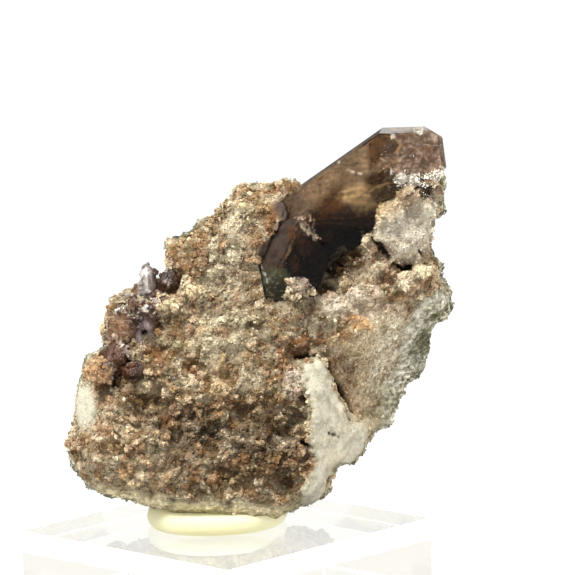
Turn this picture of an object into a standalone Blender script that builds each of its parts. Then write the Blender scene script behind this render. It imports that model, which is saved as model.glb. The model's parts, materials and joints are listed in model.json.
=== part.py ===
"""Smoky quartz with chlorite on its matrix, pressed into putty on a clear square block.

Metres, +Z up. The origin is the centre of the block's underside, +X is the show side's right
and -Y is the show side. The stone is drawn upright in a frame of its own, in millimetres, and
an empty then leans it back on its foot.
"""

import math
import random

import bmesh
import bpy
from mathutils import Euler, Matrix, Vector, noise

MM = 0.001

# Clear block: a square slab seen corner-on
BLOCK_SIDE = 50.0
BLOCK_HEIGHT = 12.0
BLOCK_TURN = math.radians(45.0)
BLOCK_EDGE = 0.3

# Putty: a soft disc on the block, dished where the stone is pressed in
PUTTY_RADIUS = 12.1
PUTTY_HEIGHT = 3.1
PUTTY_ROUND = 1.3
PUTTY_CENTRE = (-1.5, 1.5)

# Clearance between pieces that touch
GAP = 0.3

# How the stone stands: its foot point, and its small lean, tip and turn
FOOT_POINT = (2.0, -3.0, 12.7)
LEAN_BACK = math.radians(10.1)
SIDE_TIP = math.radians(1.6)
TURN = math.radians(-0.7)
FOOT_CLEAR = 0.9  # lowest point of the stone above the block

# Outline of the stone seen from its show side, clockwise from the crystal's left end (x, z)
STONE_OUTLINE = (
    (12.3, 56.4), (16.6, 53.8), (21.7, 55.0), (27.0, 57.6), (31.2, 59.6), (34.5, 60.9),
    (35.2, 58.5), (34.8, 53.6), (33.6, 52.4), (33.4, 46.0), (35.0, 43.8), (36.6, 39.4),
    (36.0, 35.6), (33.0, 33.4), (32.4, 28.9), (31.8, 26.3), (28.7, 24.0), (27.2, 20.3),
    (25.2, 17.2), (22.5, 14.0), (21.2, 11.7), (17.6, 9.2), (15.4, 5.8), (13.8, 3.6),
    (8.2, 1.6), (2.9, 0.4), (0.3, -0.2), (-4.0, 0.6), (-9.2, 1.9), (-14.3, 3.0),
    (-19.5, 4.7), (-23.8, 5.6), (-25.6, 7.0), (-28.7, 10.6), (-29.7, 14.4), (-28.1, 18.0),
    (-27.4, 22.2), (-26.4, 24.5), (-26.3, 28.4), (-23.3, 29.6), (-22.9, 34.2), (-21.4, 38.7),
    (-18.0, 39.9), (-16.0, 41.4), (-12.2, 42.8), (-11.9, 47.0), (-12.4, 48.4), (-11.6, 49.7),
    (-8.2, 51.0), (-5.0, 52.6), (-4.4, 54.0), (-3.0, 55.2), (-1.6, 57.4), (0.4, 58.4),
    (4.6, 58.4), (8.1, 59.3), (10.6, 58.9),
)
STONE_MIDDLE = (3.0, 30.0)

# Layers of the stone from show side to back: depth, and the outline's size there
STONE_LAYERS = (
    (-8.6, 0.80), (-6.6, 0.92), (-2.5, 0.99), (3.0, 1.0),
    (10.0, 1.0), (13.5, 0.94), (16.5, 0.80), (18.0, 0.56),
)

# The broken wedge at the lower right: everything past both faces is gone
WEDGE_FACES = {
    "right of the vein": ((12.2, -7.4, 16.0), (0.58, -0.81, 0.02)),
    "under the crust": ((14.0, -7.0, 28.0), (0.38, -0.67, -0.63)),
}

# Broken faces at the back: a point on each and the way it faces (x, y, z)
STONE_BREAKS = {
    "back left": ((-14.0, 15.0, 30.0), (-0.50, 0.84, 0.18)),
    "back right": ((22.0, 15.5, 36.0), (0.34, 0.93, -0.10)),
    "back top": ((6.0, 14.0, 50.0), (-0.12, 0.80, 0.58)),
    "back foot": ((4.0, 14.5, 10.0), (0.06, 0.74, -0.66)),
}

# White vein along the break, seen from the show side, and how far it stands out (x, z)
VEIN_OUTLINE = (
    (10.4, 28.0), (13.7, 28.8), (15.1, 27.6), (16.0, 24.9), (17.4, 22.6), (18.4, 20.2),
    (19.3, 18.6), (21.0, 17.9), (22.2, 16.0), (21.4, 13.2), (17.6, 10.2), (14.8, 7.0),
    (12.8, 4.6), (10.9, 4.8), (11.2, 8.0), (13.0, 11.0), (12.4, 14.6), (12.0, 18.2),
    (11.6, 21.4), (10.9, 24.6),
)
VEIN_FRONT = -11.6
VEIN_BACK = 4.0
VEIN_FACE = ((12.8, -11.4, 20.0), (0.58, -0.79, -0.20))

# Hollow beside the vein's right edge: middle (x, y, z), half sizes, tip to the left at the top
RECESS_MIDDLE = (20.4, -4.6, 23.6)
RECESS_HALF_SIZES = (3.6, 3.6, 6.6)
RECESS_TIP = math.radians(24.0)

# Lumps grown on the show side: middle (x, y, z) and half sizes (x, y, z)
STONE_LUMPS = {
    "feldspar mass": ((27.8, -6.4, 49.2), (5.4, 5.8, 4.4)),
    "feldspar top": ((31.6, -7.2, 55.2), (3.2, 5.8, 3.8)),
    "feldspar shoulder": ((26.0, -9.8, 53.0), (3.2, 4.6, 2.8)),
    "cream globe": ((31.2, -6.0, 42.6), (3.0, 3.6, 2.5)),
    "cream globe low": ((32.6, -3.6, 39.4), (3.0, 4.4, 2.4)),
    "pink lump left": ((20.4, -8.8, 39.7), (1.6, 1.9, 1.5)),
    "pink lump middle": ((24.1, -8.6, 40.2), (1.5, 1.8, 1.3)),
    "pink lump right": ((27.4, -8.4, 41.2), (1.4, 1.9, 1.3)),
    "orange lump": ((20.9, -7.4, 34.2), (2.8, 2.2, 2.0)),
    "lump on the crystal": ((10.6, -10.6, 40.4), (2.4, 3.4, 2.0)),
    "crust on the crystal": ((29.2, -10.8, 56.6), (3.2, 4.8, 2.2)),
    "cream ledge": ((32.4, -9.2, 58.4), (2.8, 5.8, 1.7)),
    "upper left hump": ((-9.4, -5.0, 46.0), (3.4, 4.4, 4.2)),
    "upper hump": ((1.0, -5.6, 54.0), (4.6, 4.4, 3.6)),
    "cream lump": ((-11.8, -7.0, 38.2), (2.6, 3.4, 2.1)),
    "cream lump right": ((-8.2, -8.0, 39.8), (1.7, 2.2, 1.5)),
    "left corner lump": ((-19.4, -2.8, 36.8), (2.1, 3.6, 1.8)),
    "orange left lump": ((-22.6, -5.4, 26.2), (3.1, 4.8, 2.8)),
    "pale patch": ((-24.6, -3.2, 20.0), (2.1, 4.4, 4.4)),
    "left beads": ((-26.8, -2.6, 14.4), (2.6, 4.4, 3.6)),
    "crest over the vein": ((8.6, -8.2, 24.6), (1.7, 2.2, 3.0)),
}

# Hollows in the crust: place (x, z), half width, depth
STONE_PITS = (
    (-5.0, 15.4, 2.0, 2.2), (-8.6, 18.4, 2.6, 1.8), (-13.0, 20.8, 2.8, 1.6),
    (4.0, 12.0, 1.8, 2.2), (6.6, 14.8, 1.9, 2.2), (8.2, 7.2, 1.6, 2.0), (9.2, 17.8, 1.7, 1.8),
    (-20.6, 25.4, 2.0, 2.6), (-22.2, 22.6, 1.5, 1.8), (15.6, 43.6, 3.4, 3.4),
    (20.4, 46.6, 2.2, 2.8),
    (24.6, 46.0, 1.2, 1.8), (27.4, 43.2, 1.5, 1.9), (17.4, 22.8, 1.8, 1.4),
    (-1.6, 8.6, 1.8, 1.3), (2.4, 19.2, 2.0, 1.3), (9.6, 29.4, 2.0, 1.4),
)

# Coarse crust: small lumps set at random over the show side, up to the broken right edge,
# which runs straight up to the knee and then out to the right
CRUST_SEED = 7
CRUST_COUNT = 260
CRUST_SIZE = (1.1, 2.3)
CRUST_DEPTH = -8.9
CRUST_RIGHT_EDGE = 9.4
CRUST_KNEE = 30.0
CRUST_SPREAD = 1.4
CRUST_MARGIN = 4.0
CRUST_RIM = 6.5
CRUST_RIM_DROP = 1.6

# Roughness of the rock: wide swells, a fine roughness, then ledges along the schist's layers
SWELL_SIZE = 9.0
SWELL_HEIGHT = 0.8
ROUGH_SIZE = 2.6
ROUGH_HEIGHT = 0.6
LEDGE_STEP = 4.3
LEDGE_HEIGHT = 2.3
LEDGE_BEND_SIZE = 8.0
LEDGE_BEND = 1.6
SIDE_LEDGE = 0.3  # how much of the ledges shows on the sides
LAYER_NORMAL = Vector((0.50, 0.72, -0.48)).normalized()
SMOOTH_VEIN = 0.3  # how much of the roughness shows on the vein
PIT_SIDE = 0.2  # the hollows are only in faces turned less than this to the back

VOXEL = 0.85
STONE_TRIANGLES = 7600

# Quartz. A crystal is a middle point and faces: compass angle seen from the show side
# (0 right, 90 up), lean towards the show side, and distance from the middle
DEG = math.radians
CRYSTAL_RISE = 34.8
CRYSTAL_NOSE = 12.0  # the long axis comes forward this much at its upper end
MAIN_MIDDLE = (21.0, -6.4, 56.5)
PRISM_TURN = 4.0
PRISM_REACH = (6.9, 6.9, 6.6, 6.8, 7.0, 6.4)
MAIN_ENDS = (
    (90.0, 9.0, 11.0),      # thin top facet
    (28.0, 60.0, 10.8),     # broad etched end face
    (58.6, 2.0, 15.45),     # worn corner
    (9.0, 6.0, 14.85),      # small pale end facet
    (-30.0, 2.0, 10.3),     # lower end facet
    (203.0, 2.0, 14.7),     # left edge
    (180.0, 42.0, 10.5),    # left end face
)
LOWER_MIDDLE = (8.9, -6.0, 45.6)
LOWER_FACES = (
    (152.0, 0.0, 5.1),      # upper left edge
    (180.0, 0.0, 5.25),     # left edge
    (190.2, 0.0, 5.4),      # lower left edge
    (278.5, 0.0, 7.15),     # lower end
    (105.5, 4.0, 6.7),      # upper end, against the long crystal
    (152.0, 45.0, 5.2),     # grey face along the left edge
    (325.0, 64.0, 5.9),     # dark front face
    (278.0, 52.0, 6.9),     # chlorite end face
    (39.0, 0.0, 5.6),       # upper right
    (12.0, 0.0, 6.2),       # right
    (335.0, 0.0, 6.5),      # lower right
    (190.0, -60.0, 5.5),    # back left
    (320.0, -60.0, 6.5),    # back lower
    (60.0, -60.0, 6.5),     # back upper
)

# Small side crystals: foot (x, y, z), axis (x, y, z), half width, length past the foot
UPPER_SIDE = (
    ((-14.9, -4.8, 39.2), (-0.12, -0.12, 1.0), 1.4, 5.2),
    ((-12.2, -6.4, 39.8), (0.34, -0.42, 1.0), 1.8, 4.2),
)
LOWER_SIDE = (
    ((-14.8, -8.0, 34.9), (-0.30, -0.86, 0.36), 2.1, 4.2),
    ((-18.4, -6.6, 32.8), (-0.62, -0.66, 0.36), 2.7, 5.2),
    ((-19.4, -6.6, 29.2), (-0.50, -0.80, -0.18), 2.7, 5.2),
    ((-17.2, -8.4, 26.8), (-0.24, -0.92, -0.28), 1.9, 3.8),
)
TIP_SLOPE = math.radians(52.0)  # a tip face's turn from the long axis

COLLECTION = "quartz_with_chlorite"


def clear_scene():
    for old in list(bpy.data.objects):
        bpy.data.objects.remove(old, do_unlink=True)


def collection(name):
    made = bpy.data.collections.new(name)
    bpy.context.scene.collection.children.link(made)
    return made


def material(name, colour, roughness, transmission=0.0):
    made = bpy.data.materials.new(name)
    made.use_nodes = True
    shader = made.node_tree.nodes["Principled BSDF"]
    shader.inputs["Base Color"].default_value = (*colour, 1.0)
    shader.inputs["Roughness"].default_value = roughness
    shader.inputs["Metallic"].default_value = 0.0
    shader.inputs["Transmission Weight"].default_value = transmission
    made.diffuse_color = (*colour, 1.0)
    return made


def add_object(name, mesh, group, finish=None):
    made = bpy.data.objects.new(name, mesh)
    if finish:
        mesh.materials.append(finish)
    group.objects.link(made)
    return made


def mesh_from(bm, name):
    bmesh.ops.recalc_face_normals(bm, faces=bm.faces)
    mesh = bpy.data.meshes.new(name)
    bm.to_mesh(mesh)
    bm.free()
    return mesh


def settle(made):
    """Replaces an object's mesh by its evaluated mesh and drops the modifiers."""
    graph = bpy.context.evaluated_depsgraph_get()
    mesh = bpy.data.meshes.new_from_object(made.evaluated_get(graph))
    made.modifiers.clear()
    made.data = mesh
    return mesh


def as_cutter(made):
    made.hide_render = True
    made.display_type = "WIRE"
    return made


def cut(made, cutter):
    take = made.modifiers.new("cut " + cutter.name, "BOOLEAN")
    take.operation = "DIFFERENCE"
    take.object = cutter
    take.solver = "EXACT"


def fuse(made, other):
    join = made.modifiers.new("join " + other.name, "BOOLEAN")
    join.operation = "UNION"
    join.object = other
    join.solver = "EXACT"


def slice_by(bm, point, facing):
    """Takes off everything past a plane and closes the cut."""
    found = bmesh.ops.bisect_plane(
        bm,
        geom=bm.verts[:] + bm.edges[:] + bm.faces[:],
        dist=1e-7,
        plane_co=point,
        plane_no=facing,
        clear_outer=True,
    )
    rim = [item for item in found["geom_cut"] if isinstance(item, bmesh.types.BMEdge)]
    if rim:
        bmesh.ops.holes_fill(bm, edges=rim, sides=0)


def crystal_solid(middle, faces, room=0.0):
    """A convex crystal: a cube cut back to each face, all moved out by room."""
    bm = bmesh.new()
    bmesh.ops.create_cube(bm, size=120.0 * MM, matrix=Matrix.Translation(Vector(middle) * MM))
    for facing, distance in faces:
        point = (Vector(middle) + facing * (distance + room)) * MM
        slice_by(bm, point, facing)
    bmesh.ops.remove_doubles(bm, verts=bm.verts, dist=1e-5)
    return bm


def compass(angle, lean):
    """Direction from a compass angle on the show side and a lean towards it, in degrees."""
    flat = math.cos(DEG(lean))
    return Vector((flat * math.cos(DEG(angle)), -math.sin(DEG(lean)), flat * math.sin(DEG(angle))))


def main_crystal_faces():
    """Six prism faces round the long axis, then the end faces."""
    axis = compass(CRYSTAL_RISE, CRYSTAL_NOSE)
    up = compass(CRYSTAL_RISE + 90.0, 0.0)
    front = axis.cross(up)
    faces = []
    for side, reach in enumerate(PRISM_REACH):
        turn = DEG(PRISM_TURN + 60.0 * side)
        faces.append((math.cos(turn) * up + math.sin(turn) * front, reach))
    faces += [(compass(angle, lean), distance) for angle, lean, distance in MAIN_ENDS]
    return faces


def lower_crystal_faces():
    return [(compass(angle, lean), distance) for angle, lean, distance in LOWER_FACES]


def side_crystal_faces(axis, half_width, length):
    """A short prism with a six-sided tip, measured from its foot."""
    axis = Vector(axis).normalized()
    across = axis.orthogonal().normalized()
    other = axis.cross(across)
    faces = [(-axis, half_width)]
    for side in range(6):
        turn = DEG(60.0 * side + 17.0)
        outward = math.cos(turn) * across + math.sin(turn) * other
        faces.append((outward, half_width * (0.88 + 0.12 * (side % 2))))
        tip = math.cos(TIP_SLOPE) * axis + math.sin(TIP_SLOPE) * outward
        faces.append((tip, length * math.cos(TIP_SLOPE) * (1.0 + 0.06 * (side % 3))))
    return faces


def joined_crystals(name, solids, group, finish):
    """One solid from crystals that grew through each other."""
    first = add_object(name, mesh_from(solids[0], name), group, finish)
    for number, solid in enumerate(solids[1:]):
        other = add_object(f"{name} part {number}", mesh_from(solid, name), group)
        fuse(first, other)
        settle(first)
        bpy.data.objects.remove(other, do_unlink=True)
    return first


def stone_blank():
    """A loft through the stone's layers, from the show side to the back."""
    bm = bmesh.new()
    middle_x, middle_z = STONE_MIDDLE
    rings = []
    for depth, size in STONE_LAYERS:
        ring = []
        for x, z in STONE_OUTLINE:
            place = (middle_x + (x - middle_x) * size, depth, middle_z + (z - middle_z) * size)
            ring.append(bm.verts.new(Vector(place) * MM))
        rings.append(ring)
    count = len(STONE_OUTLINE)
    for near, far in zip(rings, rings[1:]):
        for here in range(count):
            after = (here + 1) % count
            bm.faces.new((near[here], near[after], far[after], far[here]))
    bm.faces.new(rings[0])
    bm.faces.new(rings[-1])
    bmesh.ops.recalc_face_normals(bm, faces=bm.faces)
    for point, facing in STONE_BREAKS.values():
        slice_by(bm, Vector(point) * MM, Vector(facing).normalized())
    return bm


def wedge_solid():
    """What the break took away: the space in front of both of its faces."""
    bm = bmesh.new()
    bmesh.ops.create_cube(bm, size=200.0 * MM)
    for point, facing in WEDGE_FACES.values():
        slice_by(bm, Vector(point) * MM, -Vector(facing).normalized())
    return bm


def vein_solid():
    """The vein's outline drawn through the break, then its sloping outer face."""
    bm = bmesh.new()
    ring = [bm.verts.new(Vector((x, VEIN_FRONT, z)) * MM) for x, z in VEIN_OUTLINE]
    front = bm.faces.new(ring)
    grown = bmesh.ops.extrude_face_region(bm, geom=[front])
    moved = [item for item in grown["geom"] if isinstance(item, bmesh.types.BMVert)]
    bmesh.ops.translate(bm, verts=moved, vec=Vector((0.0, VEIN_BACK - VEIN_FRONT, 0.0)) * MM)
    bmesh.ops.recalc_face_normals(bm, faces=bm.faces)
    point, facing = VEIN_FACE
    slice_by(bm, Vector(point) * MM, Vector(facing).normalized())
    return bm


def add_lump(bm, middle, half_sizes, tip=0.0):
    ball = bmesh.ops.create_icosphere(bm, subdivisions=3, radius=1.0)
    stretch = Matrix.Diagonal((*(Vector(half_sizes) * MM), 1.0))
    place = Matrix.Translation(Vector(middle) * MM) @ Matrix.Rotation(tip, 4, "Y")
    bmesh.ops.transform(bm, matrix=place @ stretch, verts=ball["verts"])


def recess_solid():
    bm = bmesh.new()
    add_lump(bm, RECESS_MIDDLE, RECESS_HALF_SIZES, -RECESS_TIP)
    return bm


def inside(ring, x, z):
    """True where a point of the show side is inside an outline."""
    found = False
    for (ax, az), (bx, bz) in zip(ring, ring[1:] + ring[:1]):
        if (az > z) != (bz > z) and x < ax + (z - az) * (bx - ax) / (bz - az):
            found = not found
    return found


def drawn_in(margin):
    """The stone's outline, drawn in towards its middle by about the margin."""
    size = 1.0 - margin / STONE_MIDDLE[1]
    middle_x, middle_z = STONE_MIDDLE
    return [(middle_x + (x - middle_x) * size, middle_z + (z - middle_z) * size)
            for x, z in STONE_OUTLINE]


def add_crust(bm):
    """Small lumps strewn over the show side's crust, lower towards its rim."""
    draw = random.Random(CRUST_SEED)
    field = drawn_in(CRUST_MARGIN)
    rim = drawn_in(CRUST_RIM)
    left, right = min(x for x, z in field), max(x for x, z in field)
    top = max(z for x, z in field)
    placed = 0
    while placed < CRUST_COUNT:
        x = draw.uniform(left, right)
        z = draw.uniform(0.0, top)
        size = draw.uniform(*CRUST_SIZE)
        edge = CRUST_RIGHT_EDGE + max(0.0, z - CRUST_KNEE) * CRUST_SPREAD
        if x > edge or not inside(field, x, z):
            continue
        drop = 0.0 if inside(rim, x, z) else CRUST_RIM_DROP
        add_lump(bm, (x, CRUST_DEPTH + drop, z), (size, size * 0.9, size * 0.9))
        placed += 1


def pit_depth(place):
    """How far the crust is pushed in at a point of the show side."""
    deepest = 0.0
    for x, z, half_width, depth in STONE_PITS:
        far = math.hypot(place.x - x, place.z - z) / half_width
        deepest = max(deepest, depth * math.exp(-far * far))
    return deepest


def ledge_height(place):
    """Steps along the schist's layers: a slow rise, then a sharp drop."""
    bend = noise.noise(place / LEDGE_BEND_SIZE) * LEDGE_BEND
    along = place.dot(LAYER_NORMAL) / LEDGE_STEP + bend
    return (along - math.floor(along)) - 0.5


def roughen(mesh):
    """Swells, roughness, ledges where the rock is bare, and hollows in the crust."""
    shifts = []
    for vertex in mesh.vertices:
        place = vertex.co / MM
        facing = vertex.normal
        shown = max(0.0, -facing.y)
        bare = 1.0 - shown if place.x < CRUST_RIGHT_EDGE else 1.0 - 0.4 * shown
        swell = noise.noise(place / SWELL_SIZE) * SWELL_HEIGHT
        rough = noise.noise(place / ROUGH_SIZE) * ROUGH_HEIGHT
        ledge = ledge_height(place) * LEDGE_HEIGHT * bare * max(SIDE_LEDGE, facing.y)
        height = swell + rough + ledge
        if shown > 0.0 and inside(VEIN_OUTLINE, place.x, place.z):
            height *= SMOOTH_VEIN
        shift = facing * height
        if facing.y < PIT_SIDE:
            shift += Vector((0.0, pit_depth(place), 0.0))
        shifts.append(shift * MM)
    for vertex, shift in zip(mesh.vertices, shifts):
        vertex.co += shift


def remesh(made):
    even = made.modifiers.new("even", "REMESH")
    even.mode = "VOXEL"
    even.voxel_size = VOXEL * MM
    settle(made)


def keep_largest(mesh):
    """Drops any crumb that a cut has set free, so that the stone is one body."""
    bm = bmesh.new()
    bm.from_mesh(mesh)
    left = set(bm.verts)
    islands = []
    while left:
        island = set()
        edge = [left.pop()]
        while edge:
            vertex = edge.pop()
            island.add(vertex)
            for link in vertex.link_edges:
                other = link.other_vert(vertex)
                if other in left:
                    left.remove(other)
                    edge.append(other)
        islands.append(island)
    islands.sort(key=len)
    crumbs = [vertex for island in islands[:-1] for vertex in island]
    bmesh.ops.delete(bm, geom=crumbs, context="VERTS")
    bm.to_mesh(mesh)
    bm.free()


def foot_plane():
    """The level that nothing of the stone reaches under, in the stone's own frame."""
    stance = Euler((-LEAN_BACK, SIDE_TIP, TURN), "YXZ").to_matrix()
    down = stance.inverted() @ Vector((0.0, 0.0, -1.0))
    rise = BLOCK_HEIGHT + FOOT_CLEAR - FOOT_POINT[2]
    return -down * rise * MM, down


def stone(group, finish):
    made = add_object("matrix", mesh_from(stone_blank(), "matrix"), group, finish)
    for name, taken in (("wedge", wedge_solid()), ("recess", recess_solid())):
        cutter = add_object(name, mesh_from(taken, name), group)
        cut(made, cutter)
        settle(made)
        bpy.data.objects.remove(cutter, do_unlink=True)
    bm = bmesh.new()
    bm.from_mesh(made.data)
    vein = mesh_from(vein_solid(), "vein")
    bm.from_mesh(vein)
    for middle, half_sizes in STONE_LUMPS.values():
        add_lump(bm, middle, half_sizes)
    add_crust(bm)
    bm.to_mesh(made.data)
    bm.free()
    remesh(made)
    roughen(made.data)
    bm = bmesh.new()
    bm.from_mesh(made.data)
    slice_by(bm, *foot_plane())
    bmesh.ops.triangulate(bm, faces=bm.faces)
    bm.to_mesh(made.data)
    bm.free()
    thin = made.modifiers.new("thin", "DECIMATE")
    thin.ratio = min(1.0, STONE_TRIANGLES / len(made.data.polygons))
    settle(made)
    return made


def stand(made, stance):
    made.parent = stance


def block(group, finish):
    bm = bmesh.new()
    bmesh.ops.create_cube(bm, size=1.0)
    sizes = (BLOCK_SIDE * MM, BLOCK_SIDE * MM, BLOCK_HEIGHT * MM)
    bmesh.ops.scale(bm, vec=sizes, verts=bm.verts)
    made = add_object("acrylic_block", mesh_from(bm, "acrylic_block"), group, finish)
    made.location.z = BLOCK_HEIGHT * MM / 2.0
    made.rotation_euler.z = BLOCK_TURN
    edge = made.modifiers.new("edge", "BEVEL")
    edge.width = BLOCK_EDGE * MM
    edge.segments = 1
    return made


def putty_disc(group, finish):
    bm = bmesh.new()
    bmesh.ops.create_cone(
        bm,
        cap_ends=True,
        segments=40,
        radius1=PUTTY_RADIUS * MM,
        radius2=PUTTY_RADIUS * 0.97 * MM,
        depth=PUTTY_HEIGHT * MM,
    )
    for vertex in bm.verts:
        turn = math.atan2(vertex.co.y, vertex.co.x)
        uneven = 1.0 + 0.018 * math.sin(2.0 * turn + 0.6) + 0.012 * math.sin(5.0 * turn)
        vertex.co.x *= uneven
        vertex.co.y *= uneven
    made = add_object("putty", mesh_from(bm, "putty"), group, finish)
    low = BLOCK_HEIGHT + GAP + PUTTY_HEIGHT / 2.0
    made.location = Vector((*PUTTY_CENTRE, low)) * MM
    soft = made.modifiers.new("soft edge", "BEVEL")
    soft.width = PUTTY_ROUND * MM
    soft.segments = 3
    soft.limit_method = "ANGLE"
    soft.angle_limit = DEG(40.0)
    settle(made)
    return made


def foot_cutter(made, group):
    """The stone's own shape, swelled by the clearance, to press into the putty."""
    cutter = add_object("foot_cutter", made.data.copy(), group)
    swell = cutter.modifiers.new("swell", "DISPLACE")
    swell.strength = GAP * MM
    swell.mid_level = 0.0
    return as_cutter(cutter)


def pocket(name, middle, faces, group):
    solid = crystal_solid(middle, faces, room=GAP)
    return as_cutter(add_object(name, mesh_from(solid, name), group))


def build():
    clear_scene()
    parts = collection(COLLECTION)
    cutters = collection("cutters")

    rock = material("matrix rock", (0.52, 0.42, 0.31), 0.85)
    smoky = material("smoky quartz", (0.30, 0.20, 0.14), 0.05, 0.9)
    clear_brown = material("side quartz", (0.38, 0.28, 0.22), 0.08, 0.8)
    clay = material("putty", (0.93, 0.91, 0.72), 0.5)
    acrylic = material("acrylic", (0.97, 0.98, 0.97), 0.02, 1.0)

    stance = bpy.data.objects.new("stance", None)
    parts.objects.link(stance)
    stance.location = Vector(FOOT_POINT) * MM
    stance.rotation_mode = "YXZ"
    stance.rotation_euler = (-LEAN_BACK, SIDE_TIP, TURN)

    block(parts, acrylic)
    disc = putty_disc(parts, clay)

    rough_stone = stone(parts, rock)
    stand(rough_stone, stance)
    foot = foot_cutter(rough_stone, cutters)
    stand(foot, stance)

    main_faces = main_crystal_faces()
    lower_faces = lower_crystal_faces()
    smoky_solids = [crystal_solid(MAIN_MIDDLE, main_faces), crystal_solid(LOWER_MIDDLE, lower_faces)]
    stand(joined_crystals("smoky_quartz", smoky_solids, parts, smoky), stance)
    pockets = [
        pocket("main_pocket", MAIN_MIDDLE, main_faces, cutters),
        pocket("lower_pocket", LOWER_MIDDLE, lower_faces, cutters),
    ]
    for name, crystals in (("upper_side_quartz", UPPER_SIDE), ("lower_side_quartz", LOWER_SIDE)):
        solids = []
        for number, (foot_at, axis, half_width, length) in enumerate(crystals):
            faces = side_crystal_faces(axis, half_width, length)
            solids.append(crystal_solid(foot_at, faces))
            pockets.append(pocket(f"{name}_pocket_{number}", foot_at, faces, cutters))
        stand(joined_crystals(name, solids, parts, clear_brown), stance)

    bpy.context.view_layer.update()
    for hole in pockets:
        stand(hole, stance)
        cut(rough_stone, hole)
    cut(disc, foot)
    bpy.context.view_layer.update()
    settle(rough_stone)
    keep_largest(rough_stone.data)


build()
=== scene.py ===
"""A smoky quartz crystal with chlorite on its crusted rock, in putty on a clear square block.

Metres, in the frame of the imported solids. Features of the stone are placed in the stone's own
frame, in millimetres: x to the right of the show side, y to the back and z up, before it leans.
"""

import json
import math
import random

import bmesh
import bpy
import numpy as np
from mathutils import Euler, Matrix, Vector, noise
from mathutils.bvhtree import BVHTree

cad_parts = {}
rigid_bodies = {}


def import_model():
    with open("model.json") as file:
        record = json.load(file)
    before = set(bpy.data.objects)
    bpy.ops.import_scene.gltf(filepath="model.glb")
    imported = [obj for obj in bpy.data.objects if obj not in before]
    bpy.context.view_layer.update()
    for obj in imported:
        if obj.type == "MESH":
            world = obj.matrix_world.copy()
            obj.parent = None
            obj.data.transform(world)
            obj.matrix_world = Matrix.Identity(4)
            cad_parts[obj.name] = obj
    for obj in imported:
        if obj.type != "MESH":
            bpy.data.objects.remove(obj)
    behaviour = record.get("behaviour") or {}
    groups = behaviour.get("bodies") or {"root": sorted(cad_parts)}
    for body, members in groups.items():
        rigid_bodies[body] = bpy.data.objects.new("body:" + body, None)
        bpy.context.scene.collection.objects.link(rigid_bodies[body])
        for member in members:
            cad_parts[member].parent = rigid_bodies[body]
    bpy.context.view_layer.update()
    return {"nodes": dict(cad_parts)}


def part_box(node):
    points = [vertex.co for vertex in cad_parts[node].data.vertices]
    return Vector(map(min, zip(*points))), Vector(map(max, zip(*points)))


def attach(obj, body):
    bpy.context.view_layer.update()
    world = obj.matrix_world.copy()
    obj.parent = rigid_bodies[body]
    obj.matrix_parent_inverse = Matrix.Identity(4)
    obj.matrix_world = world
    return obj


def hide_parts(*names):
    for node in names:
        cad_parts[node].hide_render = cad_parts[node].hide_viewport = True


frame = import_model()

MM = 0.001

# How the stone stands: its foot point, its lean to the back, its tip to the side and its turn
FOOT = Vector((2.0, -3.0, 12.7)) * MM
STANCE = Euler([math.radians(turn) for turn in (-10.1, 1.6, -0.7)], "YXZ").to_matrix()

# Camera: place, turns and focal length on a 36 mm wide sensor
CAMERA_PLACE = Vector((0.0, -0.92722, 0.21878))
CAMERA_TURNS = (79.8634, 1.6072, -1.0097)
CAMERA_LENS = 345.52

# Light of the surroundings on the camera's side, behind and above, and what a gloss mirrors
FRONT_LIGHT = 0.34
BACK_LIGHT = 0.95
TOP_LIGHT = 0.3
GLOSS_SHARE = 0.28
THROUGH_LIGHT = 1.04
FLOOR_SEEN = 0.93
FLOOR_LIGHT = 0.5
FLOOR_SHADE = 0.5
FLOOR_SHADE_SEEN = 0.05
LAMPS = (
    ("key light", (-0.3, -0.42, 0.85), 17.6, 0.28),
    ("right light", (0.75, -0.2, 0.45), 5.0, 0.4),
)

# Rock: voxel of its skin, how far under a crystal it counts as covered, and how its rim closes
ROCK_VOXEL = 0.42
COVER_REACH = 1.0
RIM_REACH = 1.5
POCKET_OVERLAP = 0.08

# Crystals: voxel of the haze inside the smoky ones, its depth under the faces,
# and how far inside the outline the faces on the sides and the back take their clouds from
HAZE_VOXEL = 0.22
HAZE_DEPTH = 0.45
HAZE_INSET = 1.8

# Outlines on the show side, in the stone's frame (x, z)
VEIN_OUTLINE = (
    (10.4, 28.1), (13.7, 28.8), (15.3, 27.2), (16.3, 24.4), (17.8, 21.2), (18.9, 18.9),
    (20.9, 17.6), (24.2, 18.4), (25.0, 15.0), (21.8, 12.0), (18.3, 9.6), (15.6, 6.4),
    (14.6, 3.0), (10.8, 3.0), (11.2, 7.4), (13.3, 10.4), (12.6, 13.4), (12.2, 18.0),
    (11.8, 21.4), (11.4, 24.0),
)
FINE_OUTLINE = (
    (15.4, 28.6), (16.6, 24.4), (18.6, 20.0), (20.6, 18.0), (24.4, 17.0), (25.4, 23.0),
    (28.4, 28.0), (30.0, 36.0), (24.0, 35.0), (18.4, 33.6),
)
BARE_OUTLINE = (
    (23.0, 14.0), (24.2, 18.4), (24.6, 22.0), (27.2, 27.0), (28.4, 33.3), (30.2, 36.8),
    (33.4, 39.6), (44.0, 43.0), (44.0, 0.0), (14.0, -3.0), (16.0, 5.0), (20.0, 10.0),
)

# Where the crust is deep, with more relief and stronger painted shade in the gaps between its clumps: middle
# (x, z), half sizes, turn
DEEP_ZONES = (
    ((-1.0, 14.0), (16.0, 10.5), 0),
    ((9.0, 14.0), (4.0, 9.0), 0),
    ((-14.0, 22.0), (7.0, 5.0), 20),
    ((14.0, 41.0), (8.0, 4.0), 30),
    ((-7.0, 55.0), (5.0, 6.0), 40),
)

# A bare white lump at the left edge: middle (x, z), half sizes
SMOOTH_WHITE = ((-26.2, 20.4), (2.0, 4.4))

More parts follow.
